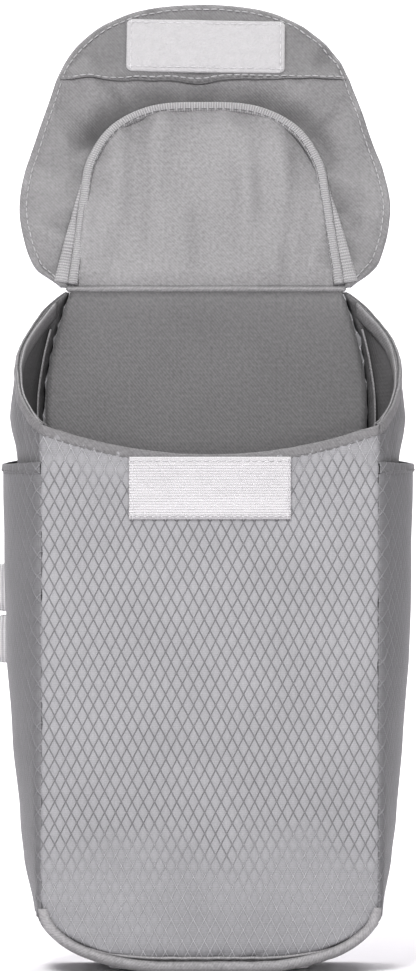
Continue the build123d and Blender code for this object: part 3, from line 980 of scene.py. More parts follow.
# ---- Pouch body --------------------------------------------------------------------------------------
@dataclass
class PouchBody:
    """Front, rear, gussets, base and their linings, with hems, bindings and the hook tape."""

    shape: PouchShape
    cloth: Wardrobe
    needle: StitchMachine
    hem: float = 4.6 * MM
    gusset_hem: float = 5.2 * MM
    lining: float = 0.7 * MM
    foam: float = 1.8 * MM

    def build(self) -> None:
        """Make and place every piece of the body."""
        self.panels()
        self.gussets()
        self.hem_folds()
        self.base()
        self.inside_trim()
        self.hook_tape()
        self.seam_stitches()

    # -- panels
    def panel_point(self, u: float, v: float, is_rear: bool, inset: float, narrow: float,
                    drop: float = 0.0) -> Point:
        """A point of a front or rear panel layer, u across and v up, from 0 to 1."""
        shape = self.shape
        seam = 0.45 * MM
        across = (2 * u - 1) * (shape.half - seam - narrow)
        top = (shape.rear_height if is_rear else shape.scoop_height(across)) - drop
        low = shape.seam_floor + narrow
        z = low + (top - low) * v
        wide = shape.seam_half(z, is_rear, shape.roll_width) - seam - narrow
        x = (2 * u - 1) * wide
        out = shape.panel_relief(x, z, is_rear)
        if not is_rear and inset == 0:
            out += hem_lift(top - z, self.hem, 0.45 * MM)
        if is_rear and inset > 3 * MM:
            inset -= 2.2 * MM * ease(1 - (top - z) / (7 * MM))
        y = shape.rear - inset + out if is_rear else shape.front + inset - out
        return (x, y, z)

    def panel_layer(self, name: str, is_rear: bool, inset: float, thickness: float,
                    narrow: float, inward: bool, drop: float = 0.0) -> Piece:
        """One layer of a panel; inward turns its seen face to the inside of the pouch."""
        turned = is_rear != inward
        way = (0.0, 1.0, 0.0) if is_rear == inward else (0.0, -1.0, 0.0)

        def surface(u: float, v: float) -> Point:
            return self.panel_point(1 - u if turned else u, v, is_rear, inset, narrow, drop)

        steps = (96, 150) if inset == 0 else (48, 70)
        return cloth_shell(name, surface, steps, thickness, uv=front_map, inwards=way)

    def panels(self) -> None:
        """Outer cloth, foam and lining of the front and rear panels."""
        shape = self.shape
        for is_rear, word in ((False, "front"), (True, "rear")):
            tall = shape.rear_height if is_rear else shape.front_corner
            outer = self.panel_layer(f"{word}_outer_cloth", is_rear, 0.0, shape.shell, 0.0, False,
                                     0.8 * MM if is_rear else 0.0)
            place(outer, self.cloth.ripstop, "root", (f"{word}_panel",))
            cut(outer, 0.148, tall + 0.006, 0.95)
            drop = 10 * MM if is_rear else 5 * MM
            padding = self.panel_layer(f"{word}_foam_layer", is_rear, shape.shell + 0.1 * MM,
                                       self.foam - 0.2 * MM, 3.2 * MM, False, drop)
            place(padding, self.cloth.foam, "root", (f"{word}_foam",))
            inside = self.panel_layer(f"{word}_lining_cloth", is_rear, shape.wall, self.lining,
                                      3.0 * MM, True, -0.5 * MM if is_rear else 1.0 * MM)
            place(inside, self.cloth.inside, "root", (f"{word}_lining",))
            cut(inside, 0.140, tall, 0.96)

    # -- gussets
    def gusset_point(self, u: float, v: float, sign: int, inset: float) -> Point:
        """A point of a gusset layer, u across the depth from the front and v up, from 0 to 1."""
        shape = self.shape
        t = 2 * u - 1
        top = shape.rim(t)
        z = shape.base_seam + (top - shape.base_seam) * v
        out = shape.gusset_relief(t, z, sign)
        if inset == 0:
            out += hem_lift(top - z, self.gusset_hem, 0.4 * MM)
        return shape.side(t, z, shape.gusset_swell(z), inset - out, sign)

    def gussets(self) -> None:
        """Outer cloth and lining of the two gussets."""
        shape = self.shape
        for side in Side:
            sign = side.value

            def outside(u: float, v: float, sign: int = sign) -> Point:
                return self.gusset_point(u if sign > 0 else 1 - u, v, sign, 0.0)

            def inside(u: float, v: float, sign: int = sign) -> Point:
                return self.gusset_point(1 - u if sign > 0 else u, v, sign, shape.shell + self.lining
                                         + 0.2 * MM)

            outer = cloth_shell(f"{side.word}_gusset_cloth", outside, (60, 140), shape.shell,
                                uv=side_map, inwards=(-sign, 0.0, 0.0))
            place(outer, self.cloth.shaded_side_ripstop, "root", (f"{side.word}_gusset",))
            cut(outer, 0.086, 0.252, 0.86)
            lining = cloth_shell(f"{side.word}_gusset_lining_cloth", inside, (40, 80), self.lining,
                                 uv=side_map, inwards=(sign, 0.0, 0.0))
            place(lining, self.cloth.inside, "root", (f"{side.word}_gusset_lining",))
            cut(lining, 0.084, 0.250, 0.86)

    def hem_folds(self) -> None:
        """The turned hems of plain cloth along the mouth: one on the front, one on each gusset."""
        shape = self.shape

        def front(u: float, v: float) -> Point:
            across = (2 * u - 1) * (shape.half - 0.6 * MM)
            top = shape.scoop_height(across) + 0.35 * MM
            top += 0.3 * MM * ripple(across, 0.0, 9 * MM, Seed.MOUTH_HEM)
            z = top - (self.hem - 0.4 * MM) * (1 - v)
            edge = min(v, 1 - v) * self.hem
            out = shape.panel_relief(across, z, False) + 0.55 * MM - 0.4 * MM * math.exp(-edge / (0.5 * MM))
            out += 0.4 * MM * pucker(v * self.hem, across, 3 * MM, 5 * MM, Seed.MOUTH_HEM + 1)
            return (across, shape.front - out, z)

        def side(u: float, v: float, sign: int) -> Point:
            u = u if sign > 0 else 1 - u
            top = shape.rim(2 * u - 1)
            reach = self.gusset_hem - 0.4 * MM
            edge = min(v, 1 - v) * reach
            lift = 0.6 * MM - 0.5 * MM * math.exp(-edge / (0.5 * MM))
            lift += 0.4 * MM * pucker(v * reach, u * 70 * MM, 3 * MM, 5 * MM,
                                      Seed.MOUTH_HEM + 2 + sign)
            x, y, z = self.gusset_point(u, 1 - reach * (1 - v) / (top - shape.base_seam), sign, -lift)
            wave = 0.25 * MM * ripple(y, 0.0, 9 * MM, Seed.MOUTH_HEM + 3 + sign)
            return (x, y, z + 0.15 * MM + wave)

        folds = [cloth_shell("front_hem_fold", front, (150, 8), shape.shell,
                             uv=front_map, inwards=(0.0, 1.0, 0.0))]
        for edge in Side:
            folds.append(cloth_shell(f"{edge.word}_hem_fold",
                                     lambda u, v, sign=edge.value: side(u, v, sign),
                                     (90, 8), shape.shell, uv=side_map,
                                     inwards=(-edge.value, 0.0, 0.0)))
        place(join(folds, "mouth_hem_folds"), self.cloth.facing, "root")

    # -- base
    def base(self) -> None:
        """Base panel that wraps up to the gussets, its stiffener and the lining over that."""
        shape = self.shape

        def outside(u: float, v: float) -> Point:
            q, t = 1 - 2 * u, 2 * v - 1
            x, y, z = shape.base(q, t, 0.0)
            away = (1 - abs(t)) * (shape.rear - shape.front) / 2
            lift = 0.35 * MM * pucker(away, x, 4 * MM, 8 * MM, Seed.BASE)
            return (x, y, max(0.0, z + lift * ease(z / (3 * MM))))

        panel = cloth_shell("base_cloth", outside, (120, 48), shape.shell)
        place(panel, self.cloth.base, "root", ("base_panel",))
        cut(panel, 0.086, 0.176, 0.9)
        rolls = [self.edge_roll(sign) for sign in (-1, 1)]
        place(join(rolls, "base_edge_rolls"), self.cloth.base, "root")
        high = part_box("base_lining")[1]
        half_wide, half_deep, middle = high

        def inside(u: float, v: float) -> Point:
            x, y = 2 * u - 1, 2 * v - 1
            corner = 1 - 0.045 * (x * y) ** 6
            x, y = x * half_wide * corner, y * half_deep * corner
            return (x, y, middle + 0.3 * MM * ripple(x, y, 22 * MM, Seed.BASE_LINING))

        lining = cloth_shell("base_lining_cloth", inside, (36, 28), self.lining,
                             inwards=(0.0, 0.0, -1.0))
        place(lining, self.cloth.inside, "root", ("base_lining",))
        cut(lining, 0.094, 0.062, 0.85)
        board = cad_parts["base_stiffener"]
        board.data.materials.clear()
        board.data.materials.append(self.cloth.board)

    def edge_roll(self, sign: int) -> Piece:
        """Rolled edge where the base meets the front (-1) or rear (1) panel."""
        shape = self.shape
        radius = 2.3 * MM
        path, normals = [], []
        for k in range(181):
            q = -1 + 2 * k / 180
            angle = min(1.0, (1 - abs(q)) / 0.5) * 0.5 * math.pi
            run = shape.corner_run
            x = shape.half - radius * 0.9 - run * (1 - math.cos(angle))
            x = math.copysign(x if abs(q) > 0.5 else x * abs(q) / 0.5, q)
            deep = shape.base_seam + 2 * MM - radius
            z = radius + deep * (1 - math.sin(angle))
            wave = 0.55 * MM * ripple(x, z, 7 * MM, Seed.BASE_ROLL + sign)
            y = (shape.rear if sign > 0 else shape.front) - sign * (radius - 0.3 * MM + wave)
            path.append((x, y, z + 0.4 * wave))
            normals.append((0.0, float(sign), 0.0))
        return ribbon(f"edge_roll_{sign + 1}", path, normals, 2 * radius, 2 * radius, lift=-radius,
                      round_section=True)

    # -- inside trim
    def inside_trim(self) -> None:
        """Rim facings and the tape that binds the inside seams."""
        shape = self.shape
        depth = shape.wall + 0.2 * MM
        below_rim = 4.4 * MM
        path = []
        for k in range(91):
            x = (2 * (0.03 + 0.94 * k / 90) - 1) * shape.half
            z = shape.scoop_height(x) - below_rim
            path.append((x * 0.965, shape.front + depth - shape.panel_relief(x, z, False), z))
        facing = ribbon("front_rim_band", path, [(0.0, 1.0, 0.0)] * len(path), 8 * MM, 0.9 * MM)
        place(facing, self.cloth.lining, "root", ("front_rim_facing",))
        for side in Side:
            path = []
            for k in range(61):
                t = -0.9 + 1.8 * k / 60
                z = shape.rim(t) - below_rim
                u, v = (t + 1) / 2, (z - shape.base_seam) / (shape.rim(t) - shape.base_seam)
                path.append(self.gusset_point(u, v, side.value, 2.0 * MM))
            band = ribbon(f"{side.word}_rim_band", path, [(-side.value, 0.0, 0.0)] * len(path),
                          8 * MM, 0.9 * MM)
            place(band, self.cloth.lining, "root", (f"{side.word}_rim_facing",))
        for word, t in (("front", -0.865), ("rear", 0.865)):
            bands = []
            for side in Side:
                low, top = 26 * MM, shape.rim(t) - 11 * MM
                heights = [low + (top - low) * k / 70 for k in range(71)]
                path = [shape.side(t, z, shape.gusset_swell(z), 2.6 * MM, side.value) for z in heights]
                bands.append(ribbon(f"{word}_binding_{side.word}", path,
                                    [(-side.value, 0.0, 0.0)] * len(path), 5 * MM, 0.9 * MM))
            place(join(bands, f"{word}_seam_tape"), self.cloth.lining, "root",
                  (f"{word}_seam_binding",))

    # -- hook tape
    def hook_tape(self) -> None:
        """The square-cornered hook tape on the front and its two rows of stitches."""
        low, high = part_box("hook_strip")
        wide, tall = high[0] - low[0], high[2] - low[2]
        face, thick = low[1], high[1] - low[1]

        def surface(u: float, v: float) -> Point:
            x, z = low[0] + wide * u, low[2] + tall * v
            edge = min(u, 1 - u) * wide, min(v, 1 - v) * tall
            fall = 0.75 * MM * math.exp(-min(edge) / (0.8 * MM))
            wave = 0.3 * MM * ripple(x, z, 17 * MM, Seed.HOOK_TAPE)
            return (x, face + fall + wave * 0.6, z)

        tape = cloth_shell("hook_tape", surface, (96, 40), thick * 0.8,
                           uv=front_map, inwards=(0.0, 1.0, 0.0))
        place(tape, self.cloth.hooks, "root", ("hook_strip",))
        bristles = self.hook_rows(low, high)
        place(bristles, self.cloth.hooks, "root")
        margin = 1.5 * MM
        sides = box_sides(low[0] + margin, low[2] + margin, high[0] - margin, high[2] - margin)
        paths = [[(x, face - 0.12 * MM, z) for x, z in side] for side in sides]
        self.needle.sew("hook_tape_stitches", paths, "hook_tape", "root", self.cloth.white_thread,
                        radius=0.24 * MM)

    def hook_rows(self, low: Point, high: Point) -> Piece:
        """Rows of short hooks that stand on the tape, as low ribs of beads."""
        paths = []
        rows = 19
        for r in range(rows):
            z = low[2] + 3.0 * MM + (high[2] - low[2] - 6.0 * MM) * r / (rows - 1)
            shift = 0.45 * MM * (r % 2)
            paths.append([(low[0] + 3.0 * MM + shift + (high[0] - low[0] - 6.5 * MM) * k / 40,
                           low[1] - 0.02 * MM, z) for k in range(41)])
        return self.needle.row("hook_rows", paths, self.cloth.hooks, pitch=0.95 * MM,
                               length=0.42 * MM, radius=0.26 * MM)

    # -- stitches
    def seam_stitches(self) -> None:
        """Topstitching of the hems and along the base edge."""
        shape = self.shape
        scoop = []
        for k in range(121):
            u = 0.012 + 0.976 * k / 120
            x, _, _ = self.panel_point(u, 0.95, False, 0.0, 0.0)
            z = shape.scoop_height(x) - self.hem + 0.9 * MM
            out = shape.panel_relief(x, z, False) + hem_lift(self.hem - 0.9 * MM, self.hem, 0.45 * MM)
            scoop.append((x, shape.front - out - 0.10 * MM, z))
        rims = []
        for side in Side:
            path = []
            for k in range(61):
                t = -0.985 + 1.97 * k / 60
                top = shape.rim(t)
                v = (top - self.gusset_hem + 0.9 * MM - shape.base_seam) / (top - shape.base_seam)
                path.append(self.gusset_point((t + 1) / 2, v, side.value, 0.0))
            rims.append([(x + side.value * 0.10 * MM, y, z) for x, y, z in path])
        self.needle.sew("rim_stitches", [scoop, *rims], "ripstop", "root")
        edge = []
        for sign in (-1, 1):
            path = []
            for k in range(81):
                q = -0.97 + 1.94 * k / 80
                x, y, z = shape.base(q, sign * 0.955, 0.0)
                path.append((x, y + sign * 0.05 * MM, z + 0.05 * MM - 0.35 * MM))
            edge.append(path)
        self.needle.sew("base_edge_stitches", edge, "ripstop", "root", radius=0.2 * MM)


def join(parts: list[Piece], name: str) -> Piece:
    """Join meshes that share one finish into one new piece of that name."""
    whole = bmesh.new()
    whole.loops.layers.uv.new("cloth")
    for part in parts:
        whole.from_mesh(part.data)
    mesh = bpy.data.meshes.new(name)
    whole.to_mesh(mesh)
    whole.free()
    for part in parts:
        bpy.data.objects.remove(part)
    for polygon in mesh.polygons:
        polygon.use_smooth = True
    piece = bpy.data.objects.new(name, mesh)
    bpy.context.scene.collection.objects.link(piece)
    return piece


# ---- Side pockets ------------------------------------------------------------------------------------
@dataclass
class SidePockets:
    """Patch pockets over the gussets, full and taut, with a folded hem along the top."""

    shape: PouchShape
    cloth: Wardrobe
    needle: StitchMachine
    hem: float = 5 * MM
    foot: float = 22.5 * MM

    def point(self, u: float, v: float, sign: int, lift: float, low: float, high: float) -> Point:
        """A point of the pocket between two heights, u across the depth and v up."""
        shape = self.shape
        t = 2 * u - 1
        top = high - 1.6 * MM * (1 - t * t)
        z = low + (top - low) * v
        seed = Seed.POCKET + sign
        away = (1 - abs(t)) * (shape.rear - shape.front) / 2
        out = 0.55 * MM * ripple(t * 35 * MM, z, 26 * MM, seed) * (1 - t * t)
        out += 0.55 * MM * pucker(away, z, 6 * MM, 9 * MM, seed + 3 + (1 if t > 0 else 0))
        inset = -0.9 * MM - out - lift
        return shape.side(t, z, shape.pocket_swell(z) - 1.2 * MM, inset, sign)

    def build(self) -> None:
        """Make and place both pockets with their hems and stitches."""
        shape = self.shape
        rows = []
        for side in Side:
            sign = side.value

            def skin(u: float, v: float, sign: int = sign) -> Point:
                return self.point(u if sign > 0 else 1 - u, v, sign, 0.0, self.foot,
                                  shape.pocket_top - 1 * MM)

            def fold(u: float, v: float, sign: int = sign) -> Point:
                edge = min(v, 1 - v) * self.hem
                lift = 0.55 * MM - 0.45 * MM * math.exp(-edge / (0.5 * MM))
                return self.point(u if sign > 0 else 1 - u, v, sign, lift,
                                  shape.pocket_top - self.hem, shape.pocket_top)

            pocket = cloth_shell(f"{side.word}_pocket_cloth", skin, (60, 120), shape.shell,
                                 uv=side_map, inwards=(-sign, 0.0, 0.0))
            place(pocket, self.cloth.shaded_side_ripstop, "root", (f"{side.word}_side_pocket",))
            cut(pocket, 0.090, 0.190, 0.9)
            hem = cloth_shell(f"{side.word}_pocket_fold", fold, (60, 12), shape.shell + 0.5 * MM,
                              uv=side_map, inwards=(-sign, 0.0, 0.0))
            place(hem, self.cloth.shaded_side_ripstop, "root", (f"{side.word}_pocket_hem",))
            rows.append([self.point(0.01 + 0.98 * k / 60, 0.24, sign, 0.62 * MM,
                                    shape.pocket_top - self.hem, shape.pocket_top)
                         for k in range(61)])
        self.needle.sew("pocket_hem_stitches", rows, "ripstop", "root")


# ---- Lid and flap ------------------------------------------------------------------------------------
@dataclass
class HalfOutline:
    """Right half of an outline in the lid's plane, smooth through its knots from hinge to crown."""

    knots: list[Flat]
    points: np.ndarray = field(init=False)
    walked: np.ndarray = field(init=False)

    def __post_init__(self) -> None:
        """Sample a smooth curve through the knots."""
        knots = [np.array(k) for k in self.knots]
        mirrored = np.array([-knots[-2][0], knots[-2][1]])
        chain = [2 * knots[0] - knots[1], *knots, mirrored]
        samples = []
        for a, b, c, d in zip(chain, chain[1:], chain[2:], chain[3:]):
            for k in range(24):
                t = k / 24
                samples.append(0.5 * (2 * b + (c - a) * t + (2 * a - 5 * b + 4 * c - d) * t * t
                                      + (3 * b - a - 3 * c + d) * t**3))
        samples.append(knots[-1])
        self.points = np.array(samples)
        steps = np.linalg.norm(np.diff(self.points, axis=0), axis=1)
        self.walked = np.concatenate([[0], np.cumsum(steps)])
        self.walked /= self.walked[-1]

    def at(self, a: float) -> Flat:
        """Point at a, from 0 at the right end of the hinge round to 1 at its left end."""
        part = 2 * min(a, 1 - a)
        x = float(np.interp(part, self.walked, self.points[:, 0]))
        y = float(np.interp(part, self.walked, self.points[:, 1]))
        return (x if a <= 0.5 else -x, y)


@dataclass
class Lid:
    """The open flap lid: a padded arch, its grosgrain binding, and a skirt of two cloths round it."""

    cloth: Wardrobe
    needle: StitchMachine
    lean: float = math.radians(32)
    hinge_y: float = 34.55 * MM
    hinge_z: float = 273.2 * MM
    fold: float = 90 * MM
    facing_start: float = 99.5 * MM
    binding: float = 4.6 * MM
    leg_tape: float = 6.4 * MM
    shell: float = 0.9 * MM
    lining: float = 0.7 * MM
    rise: float = 2.0 * MM
    rim: HalfOutline = field(default_factory=lambda: HalfOutline([
        (0.0590, 0.0012), (0.0705, 0.0144), (0.0755, 0.036), (0.0735, 0.056), (0.0677, 0.075),
        (0.0600, 0.100), (0.0553, 0.1115), (0.0475, 0.1210), (0.0360, 0.1294), (0.0220, 0.1346),
        (0.0, 0.1368)]))
    arch: HalfOutline = field(default_factory=lambda: HalfOutline([
        (0.0560, 0.0012), (0.0533, 0.022), (0.0510, 0.042), (0.0480, 0.060), (0.0382, 0.0766),
        (0.0215, 0.0862), (0.0, 0.088)]))

    def point(self, x: float, v: float, w: float) -> Point:
        """Row-frame point of a place in the lid: x across, v up from the hinge, w towards the front."""
        return (x, self.hinge_y + v * math.sin(self.lean) - w * math.cos(self.lean),
                self.hinge_z + v * math.cos(self.lean) + w * math.sin(self.lean))

    @property
    def front_way(self) -> Point:
        """Direction that the lid's lining faces."""
        return (0.0, -math.cos(self.lean), math.sin(self.lean))

    @property
    def back_way(self) -> Point:
        """Direction that the lid's outer cloth faces."""
        return (0.0, math.cos(self.lean), -math.sin(self.lean))

    def fold_span(self) -> tuple[str, str, Point, Point]:
        """Where the cloth bends between lid and flap."""
        return ("lid", "flap", self.point(0, self.fold - 6 * MM, 0), self.point(0, self.fold + 6 * MM, 0))

    # -- surfaces
    def skirt_height(self, x: float, v: float, r: float) -> float:
        """How far the skirt stands towards the front: folds, the valley round the arch and its rim."""
        fade = ease(v / (14 * MM))
        across = math.atan2(v - 40 * MM, x)
        span = 20 * MM + 29 * MM * ease((v - 62 * MM) / (30 * MM))
        away = r * span
        high = ease((v - 56 * MM) / (26 * MM))
        well = (3.0 + 1.8 * high) * MM
        depth = (away / well) * math.exp(1 - away / well)
        valley = -(1.4 + 6.0 * high) * MM * depth**1.4
        seed = Seed.SKIRT
        soft = 2.3 * MM * ripple(x, v, 22 * MM, seed) + 0.9 * MM * ripple(x, v, 8 * MM, seed + 2)
        rays = 1.3 * MM * math.sin(15 * across + 4 * ripple(x, v, 30 * MM, seed + 4)) * (1 - r) ** 0.7
        gathers = 0.5 * MM * pucker((1 - r) * span, across * 70 * MM, 5 * MM, 10 * MM, seed + 6)
        calm = 1 - 0.85 * ease((37 * MM - abs(x)) / (6 * MM)) * ease((v - 101 * MM) / (3 * MM))
        flap = -1.6 * MM * ease((abs(x) - 36 * MM) / (22 * MM)) * ease((v - 100 * MM) / (20 * MM))
        sides = -1.8 * MM * r * r * ease((90 * MM - v) / (30 * MM))
        swell = 1.4 * MM * math.exp(-(((v - 100 * MM) / (5 * MM)) ** 2))
        return ((soft + rays) * calm + gathers + sides) * fade + valley + flap + swell

    def skirt_at(self, r: float, a: float, w: float) -> Point:
        """A point of the skirt: r from the arch to the rim, a round it from right to left."""
        x0, v0 = self.arch.at(a)
        x1, v1 = self.rim.at(a)
        start = 0.975
        x, v = start * x0 + (x1 - start * x0) * r, v0 + (v1 - v0) * r - (1 - start) * v0 * (1 - r)
        return self.point(x, v, w + self.skirt_height(x, v, r))

    def arch_at(self, r: float, a: float, w: float, inset: float, crown: float,
                low: float = 0.9 * MM) -> Point:
        """A point of the arch.

        Args:
            r: from its middle line, 0, to its outline, 1.
            a: round the outline from right to left.
            w: height of the layer towards the front.
            inset: how much the outline shrinks.
            crown: how far the middle is raised.
            low: where the layer starts, up from the hinge.

        Returns:
            The point in the row frame.
        """
        x1, v1 = self.arch.at(a)
        x1 *= 1 - inset / (50 * MM)
        v1 = low + (v1 - 1.2 * MM) * (1 - (inset + low) / (88 * MM))
        spine = low + (v1 - low) * 0.66
        x, v = x1 * r, spine + (v1 - spine) * r
        dome = crown * (1 - r**2.4) * ease(v / (25 * MM))
        seed = Seed.ARCH
        folds = 2.7 * MM * noise.noise(Vector((x / (11 * MM), v / (46 * MM), seed)))
        soft = 0.7 * MM * ripple(x, v, 24 * MM, seed + 2) + 0.3 * MM * ripple(x, v, 8 * MM, seed + 3)
        edge = (1 - r) * 40 * MM
        tug = 0.5 * MM * pucker(edge, math.atan2(v - 30 * MM, x) * 50 * MM, 5 * MM, 9 * MM, seed + 4)
        rise = ease((v - 0.5 * MM) / (7 * MM))
        return self.point(x, v, (w if w < 0 else w * rise) + dome + (folds + soft + tug) * rise)

    # -- pieces
    def build(self) -> None:
        """Make and place every piece of the lid and flap."""
        self.arch_layers()
        self.arch_binding()
        self.hinge_tapes()
        self.skirt()
        self.facing()
        self.loop_tape()
        self.hinge_roll()
        self.stitches()

    def arch_layers(self) -> None:
        """Outer cloth, foam and lining of the arch."""
        outer = cloth_shell("lid_outer_cloth",
                            lambda u, v: self.arch_at(1 - u, v, -self.shell, 0, -0.4 * MM),
                            (44, 160), self.shell, uv=self.flat_place, inwards=self.front_way,
                            open_end=True)
        place(outer, self.cloth.ripstop, "lid", ("lid_panel",))
        cut(outer, 0.118, 0.094, 0.86)
        padding = cloth_shell("lid_foam_layer",
                              lambda u, v: self.arch_at(u, v, 1.35 * MM, 5.4 * MM, 0.0, 9 * MM),
                              (20, 96), 1.3 * MM, inwards=self.back_way, open_start=True)
        place(padding, self.cloth.foam, "lid", ("lid_foam",))
        lining = cloth_shell("lid_lining_cloth",
                             lambda u, v: self.arch_at(u, v, self.rise, 2.0 * MM, 0.5 * MM),
                             (44, 160), self.lining, uv=self.flat_place, inwards=self.back_way,
                             open_start=True)
        place(lining, self.cloth.lining, "lid", ("lid_lining",))
        cut(lining, 0.114, 0.092, 0.84)

    def flat_place(self, u: float, v: float, p: Point) -> Flat:
        """Map of a lid cloth: across and up from the hinge."""
        return (p[0], (p[2] - self.hinge_z) / math.cos(self.lean))

    def outline_path(self, line: HalfOutline, inset: float, w: float, start: float, end: float,
                     count: int) -> list[Point]:
        """Points along an outline moved inwards by inset, from start to end of its run."""
        path = []
        for k in range(count + 1):
            a = start + (end - start) * k / count
            x, v = line.at(a)
            xa, va = line.at(max(a - 0.004, 0.0))
            xb, vb = line.at(min(a + 0.004, 1.0))
            tangent = math.hypot(xb - xa, vb - va)
            x -= inset * (vb - va) / tangent
            v += inset * (xb - xa) / tangent
            path.append(self.point(x, v, w * ease((v + 0.5 * MM) / (9 * MM))))
        return path

    def arch_binding(self) -> None:
        """Grosgrain bound over the arch's edge."""
        path = self.outline_path(self.arch, 1.9 * MM, 1.0 * MM, 0.004, 0.996, 240)
        tape = ribbon("grosgrain_binding", path, [self.front_way] * len(path), self.binding, 2.6 * MM,
                      round_off=2.2)
        place(tape, self.cloth.grosgrain, "lid", ("arch_binding",))

    def hinge_tapes(self) -> None:
        """Second band of grosgrain outside each leg of the arch, near the hinge."""
        for side in Side:
            span = (0.008, 0.225) if side is Side.RIGHT else (0.992, 0.775)
            path = []
            for k in range(61):
                share = self.tape_share(k / 60)
                a = span[0] + (span[1] - span[0]) * k / 60
                x, v = self.arch.at(a)
                out = side.value * (share * self.leg_tape / 2 - 0.3 * MM)
                path.append(self.point(x + out, v, 0.6 * MM + self.skirt_height(x, v, 0.1) * 0.5))
            tape = ribbon(f"{side.word}_leg_tape", path, [self.front_way] * len(path),
                          self.leg_tape, 1.5 * MM, taper=self.tape_share)
            place(tape, self.cloth.fuzzy_tape, "lid", (f"{side.word}_hinge_tape",))

    def tape_share(self, part: float) -> float:
        """Width of a leg tape as a share of its full width, from the hinge to its end."""
        return max(0.06, 1 - part**1.2)

    def skirt(self) -> None:
        """Outer cloth and lining of the skirt, each one cloth from the hinge round the tip."""

        def rim_roll(r: float) -> float:
            away = (1 - r) * 22 * MM
            return -0.5 * MM * math.exp(-away / (0.8 * MM))

        outer = cloth_shell("skirt_outer_cloth",
                            lambda u, v: self.skirt_at(u, 1 - v, -self.shell),
                            (44, 300), self.shell, uv=self.flat_place, inwards=self.front_way)
        place(outer, self.cloth.ripstop, self.fold_span(), ("skirt_cloth", "flap_cloth"))
        cut(outer, 0.160, 0.142, 0.50)

        def lined(u: float, v: float) -> Point:
            away = (1 - u) * 20 * MM
            hem = 0.35 * MM * (1 - ease((away - 3.0 * MM) / (0.8 * MM)))
            return self.skirt_at(u, v, self.lining + hem + rim_roll(u))

        lining = cloth_shell("skirt_lining_cloth", lined, (60, 300), self.lining,
                             uv=self.flat_place, inwards=self.back_way)
        place(lining, self.cloth.skirt, self.fold_span(), ("skirt_lining", "flap_lining"))
        cut(lining, 0.160, 0.142, 0.50)

    def facing(self) -> None:
        """Second layer of cloth across the tip, stitched down along its lower edge."""
        begin = self.facing_start + 2 * MM
        first = next(k for k in range(400) if self.rim.at(k / 1000)[1] > begin) / 1000

        def surface(u: float, v: float) -> Point:
            x1, v1 = self.rim.at(first + (1 - 2 * first) * v)
            x1, v1 = x1 * 0.985, v1 - 1.0 * MM
            low = self.facing_start + 0.8 * MM * ripple(x1, 0.0, 40 * MM, Seed.FACING_EDGE)
            top = max(v1, low + 0.4 * MM)
            up = low + (top - low) * u
            r = 1 - min(1.0, (top - up) / (50 * MM))
            ridge = 0.35 * MM * math.exp(-((up - low) / (2.2 * MM)) ** 2)
            return self.point(x1, up, self.lining + 0.55 * MM + ridge + self.skirt_height(x1, up, r))

        facing = cloth_shell("tip_facing_cloth", surface, (30, 120), 0.5 * MM, uv=self.flat_place,
                             inwards=self.back_way)
        place(facing, self.cloth.facing, "flap", ("tip_facing",))
        cut(facing, 0.122, 0.042, 0.78)

    def loop_tape(self) -> None:
        """The loop tape on the tip, with rounded corners, a soft pile face and stitches round it."""
        low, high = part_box("loop_strip")
        wide, middle, tall = high[0] - low[0], 115.6 * MM, 25 * MM
        turn, shift = math.radians(-1.2), 1.2 * MM
        radius = 2.5 * MM

        def turned(x: float, y: float, w: float) -> Point:
            xr = x * math.cos(turn) - y * math.sin(turn)
            yr = x * math.sin(turn) + y * math.cos(turn)
            return self.point(shift + xr, middle + yr, w)

        def surface(u: float, v: float) -> Point:
            x, y = (2 * u - 1) * wide / 2, (2 * v - 1) * tall / 2
            ex, ey = wide / 2 - abs(x), tall / 2 - abs(y)
            if ex < radius and ey < radius:
                reach = math.hypot(radius - ex, radius - ey)
                if reach > 0:
                    squeeze = max(radius - ex, radius - ey) / reach
                    x = math.copysign(wide / 2 - radius + (radius - ex) * squeeze, x)
                    y = math.copysign(tall / 2 - radius + (radius - ey) * squeeze, y)
            edge = min(ex, ey)
            w = 2.75 * MM - 0.7 * MM * math.exp(-edge / (0.9 * MM))
            w += 0.22 * MM * ripple(x, y, 14 * MM, Seed.LOOP_TAPE)
            groove = 0.35 * MM * math.exp(-(((edge - 1.8 * MM) / (0.5 * MM)) ** 2))
            return turned(x, y, w - groove)

        tape = cloth_shell("loop_tape", surface, (110, 44), 1.3 * MM, uv=self.flat_place,
                           inwards=self.back_way)
        place(tape, self.cloth.loops, "flap", ("loop_strip",))
        margin = 1.8 * MM
        half, up = wide / 2 - margin, tall / 2 - margin
        paths = [[turned(x, y, 2.62 * MM) for x, y in side] for side in box_sides(-half, -up, half, up)]
        self.needle.sew("loop_tape_stitches", paths, "loop_tape", "flap", self.cloth.white_thread,
                        radius=0.22 * MM)

    def hinge_roll(self) -> None:
        """Rolled seam on the rear rim that the lid hangs from."""
        low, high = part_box("hinge_seam_roll")
        middle_y, middle_z = (low[1] + high[1]) / 2, (low[2] + high[2]) / 2
        radius = (high[2] - low[2]) / 2

        def surface(u: float, v: float) -> Point:
            x = low[0] + (high[0] - low[0]) * v
            angle = 2 * math.pi * u
            end = min(v, 1 - v) * (high[0] - low[0])
            slim = 1 - 0.9 * math.exp(-end / (0.4 * MM))
            size = radius * slim * (1 + 0.06 * ripple(x, angle * MM, 5 * MM, Seed.HINGE_ROLL))
            return (x, middle_y + size * math.cos(angle), middle_z + size * math.sin(angle))

        roll = tube("rear_rim_roll", surface, (16, 150))
        place(roll, self.cloth.lining, "root", ("hinge_seam_roll",))

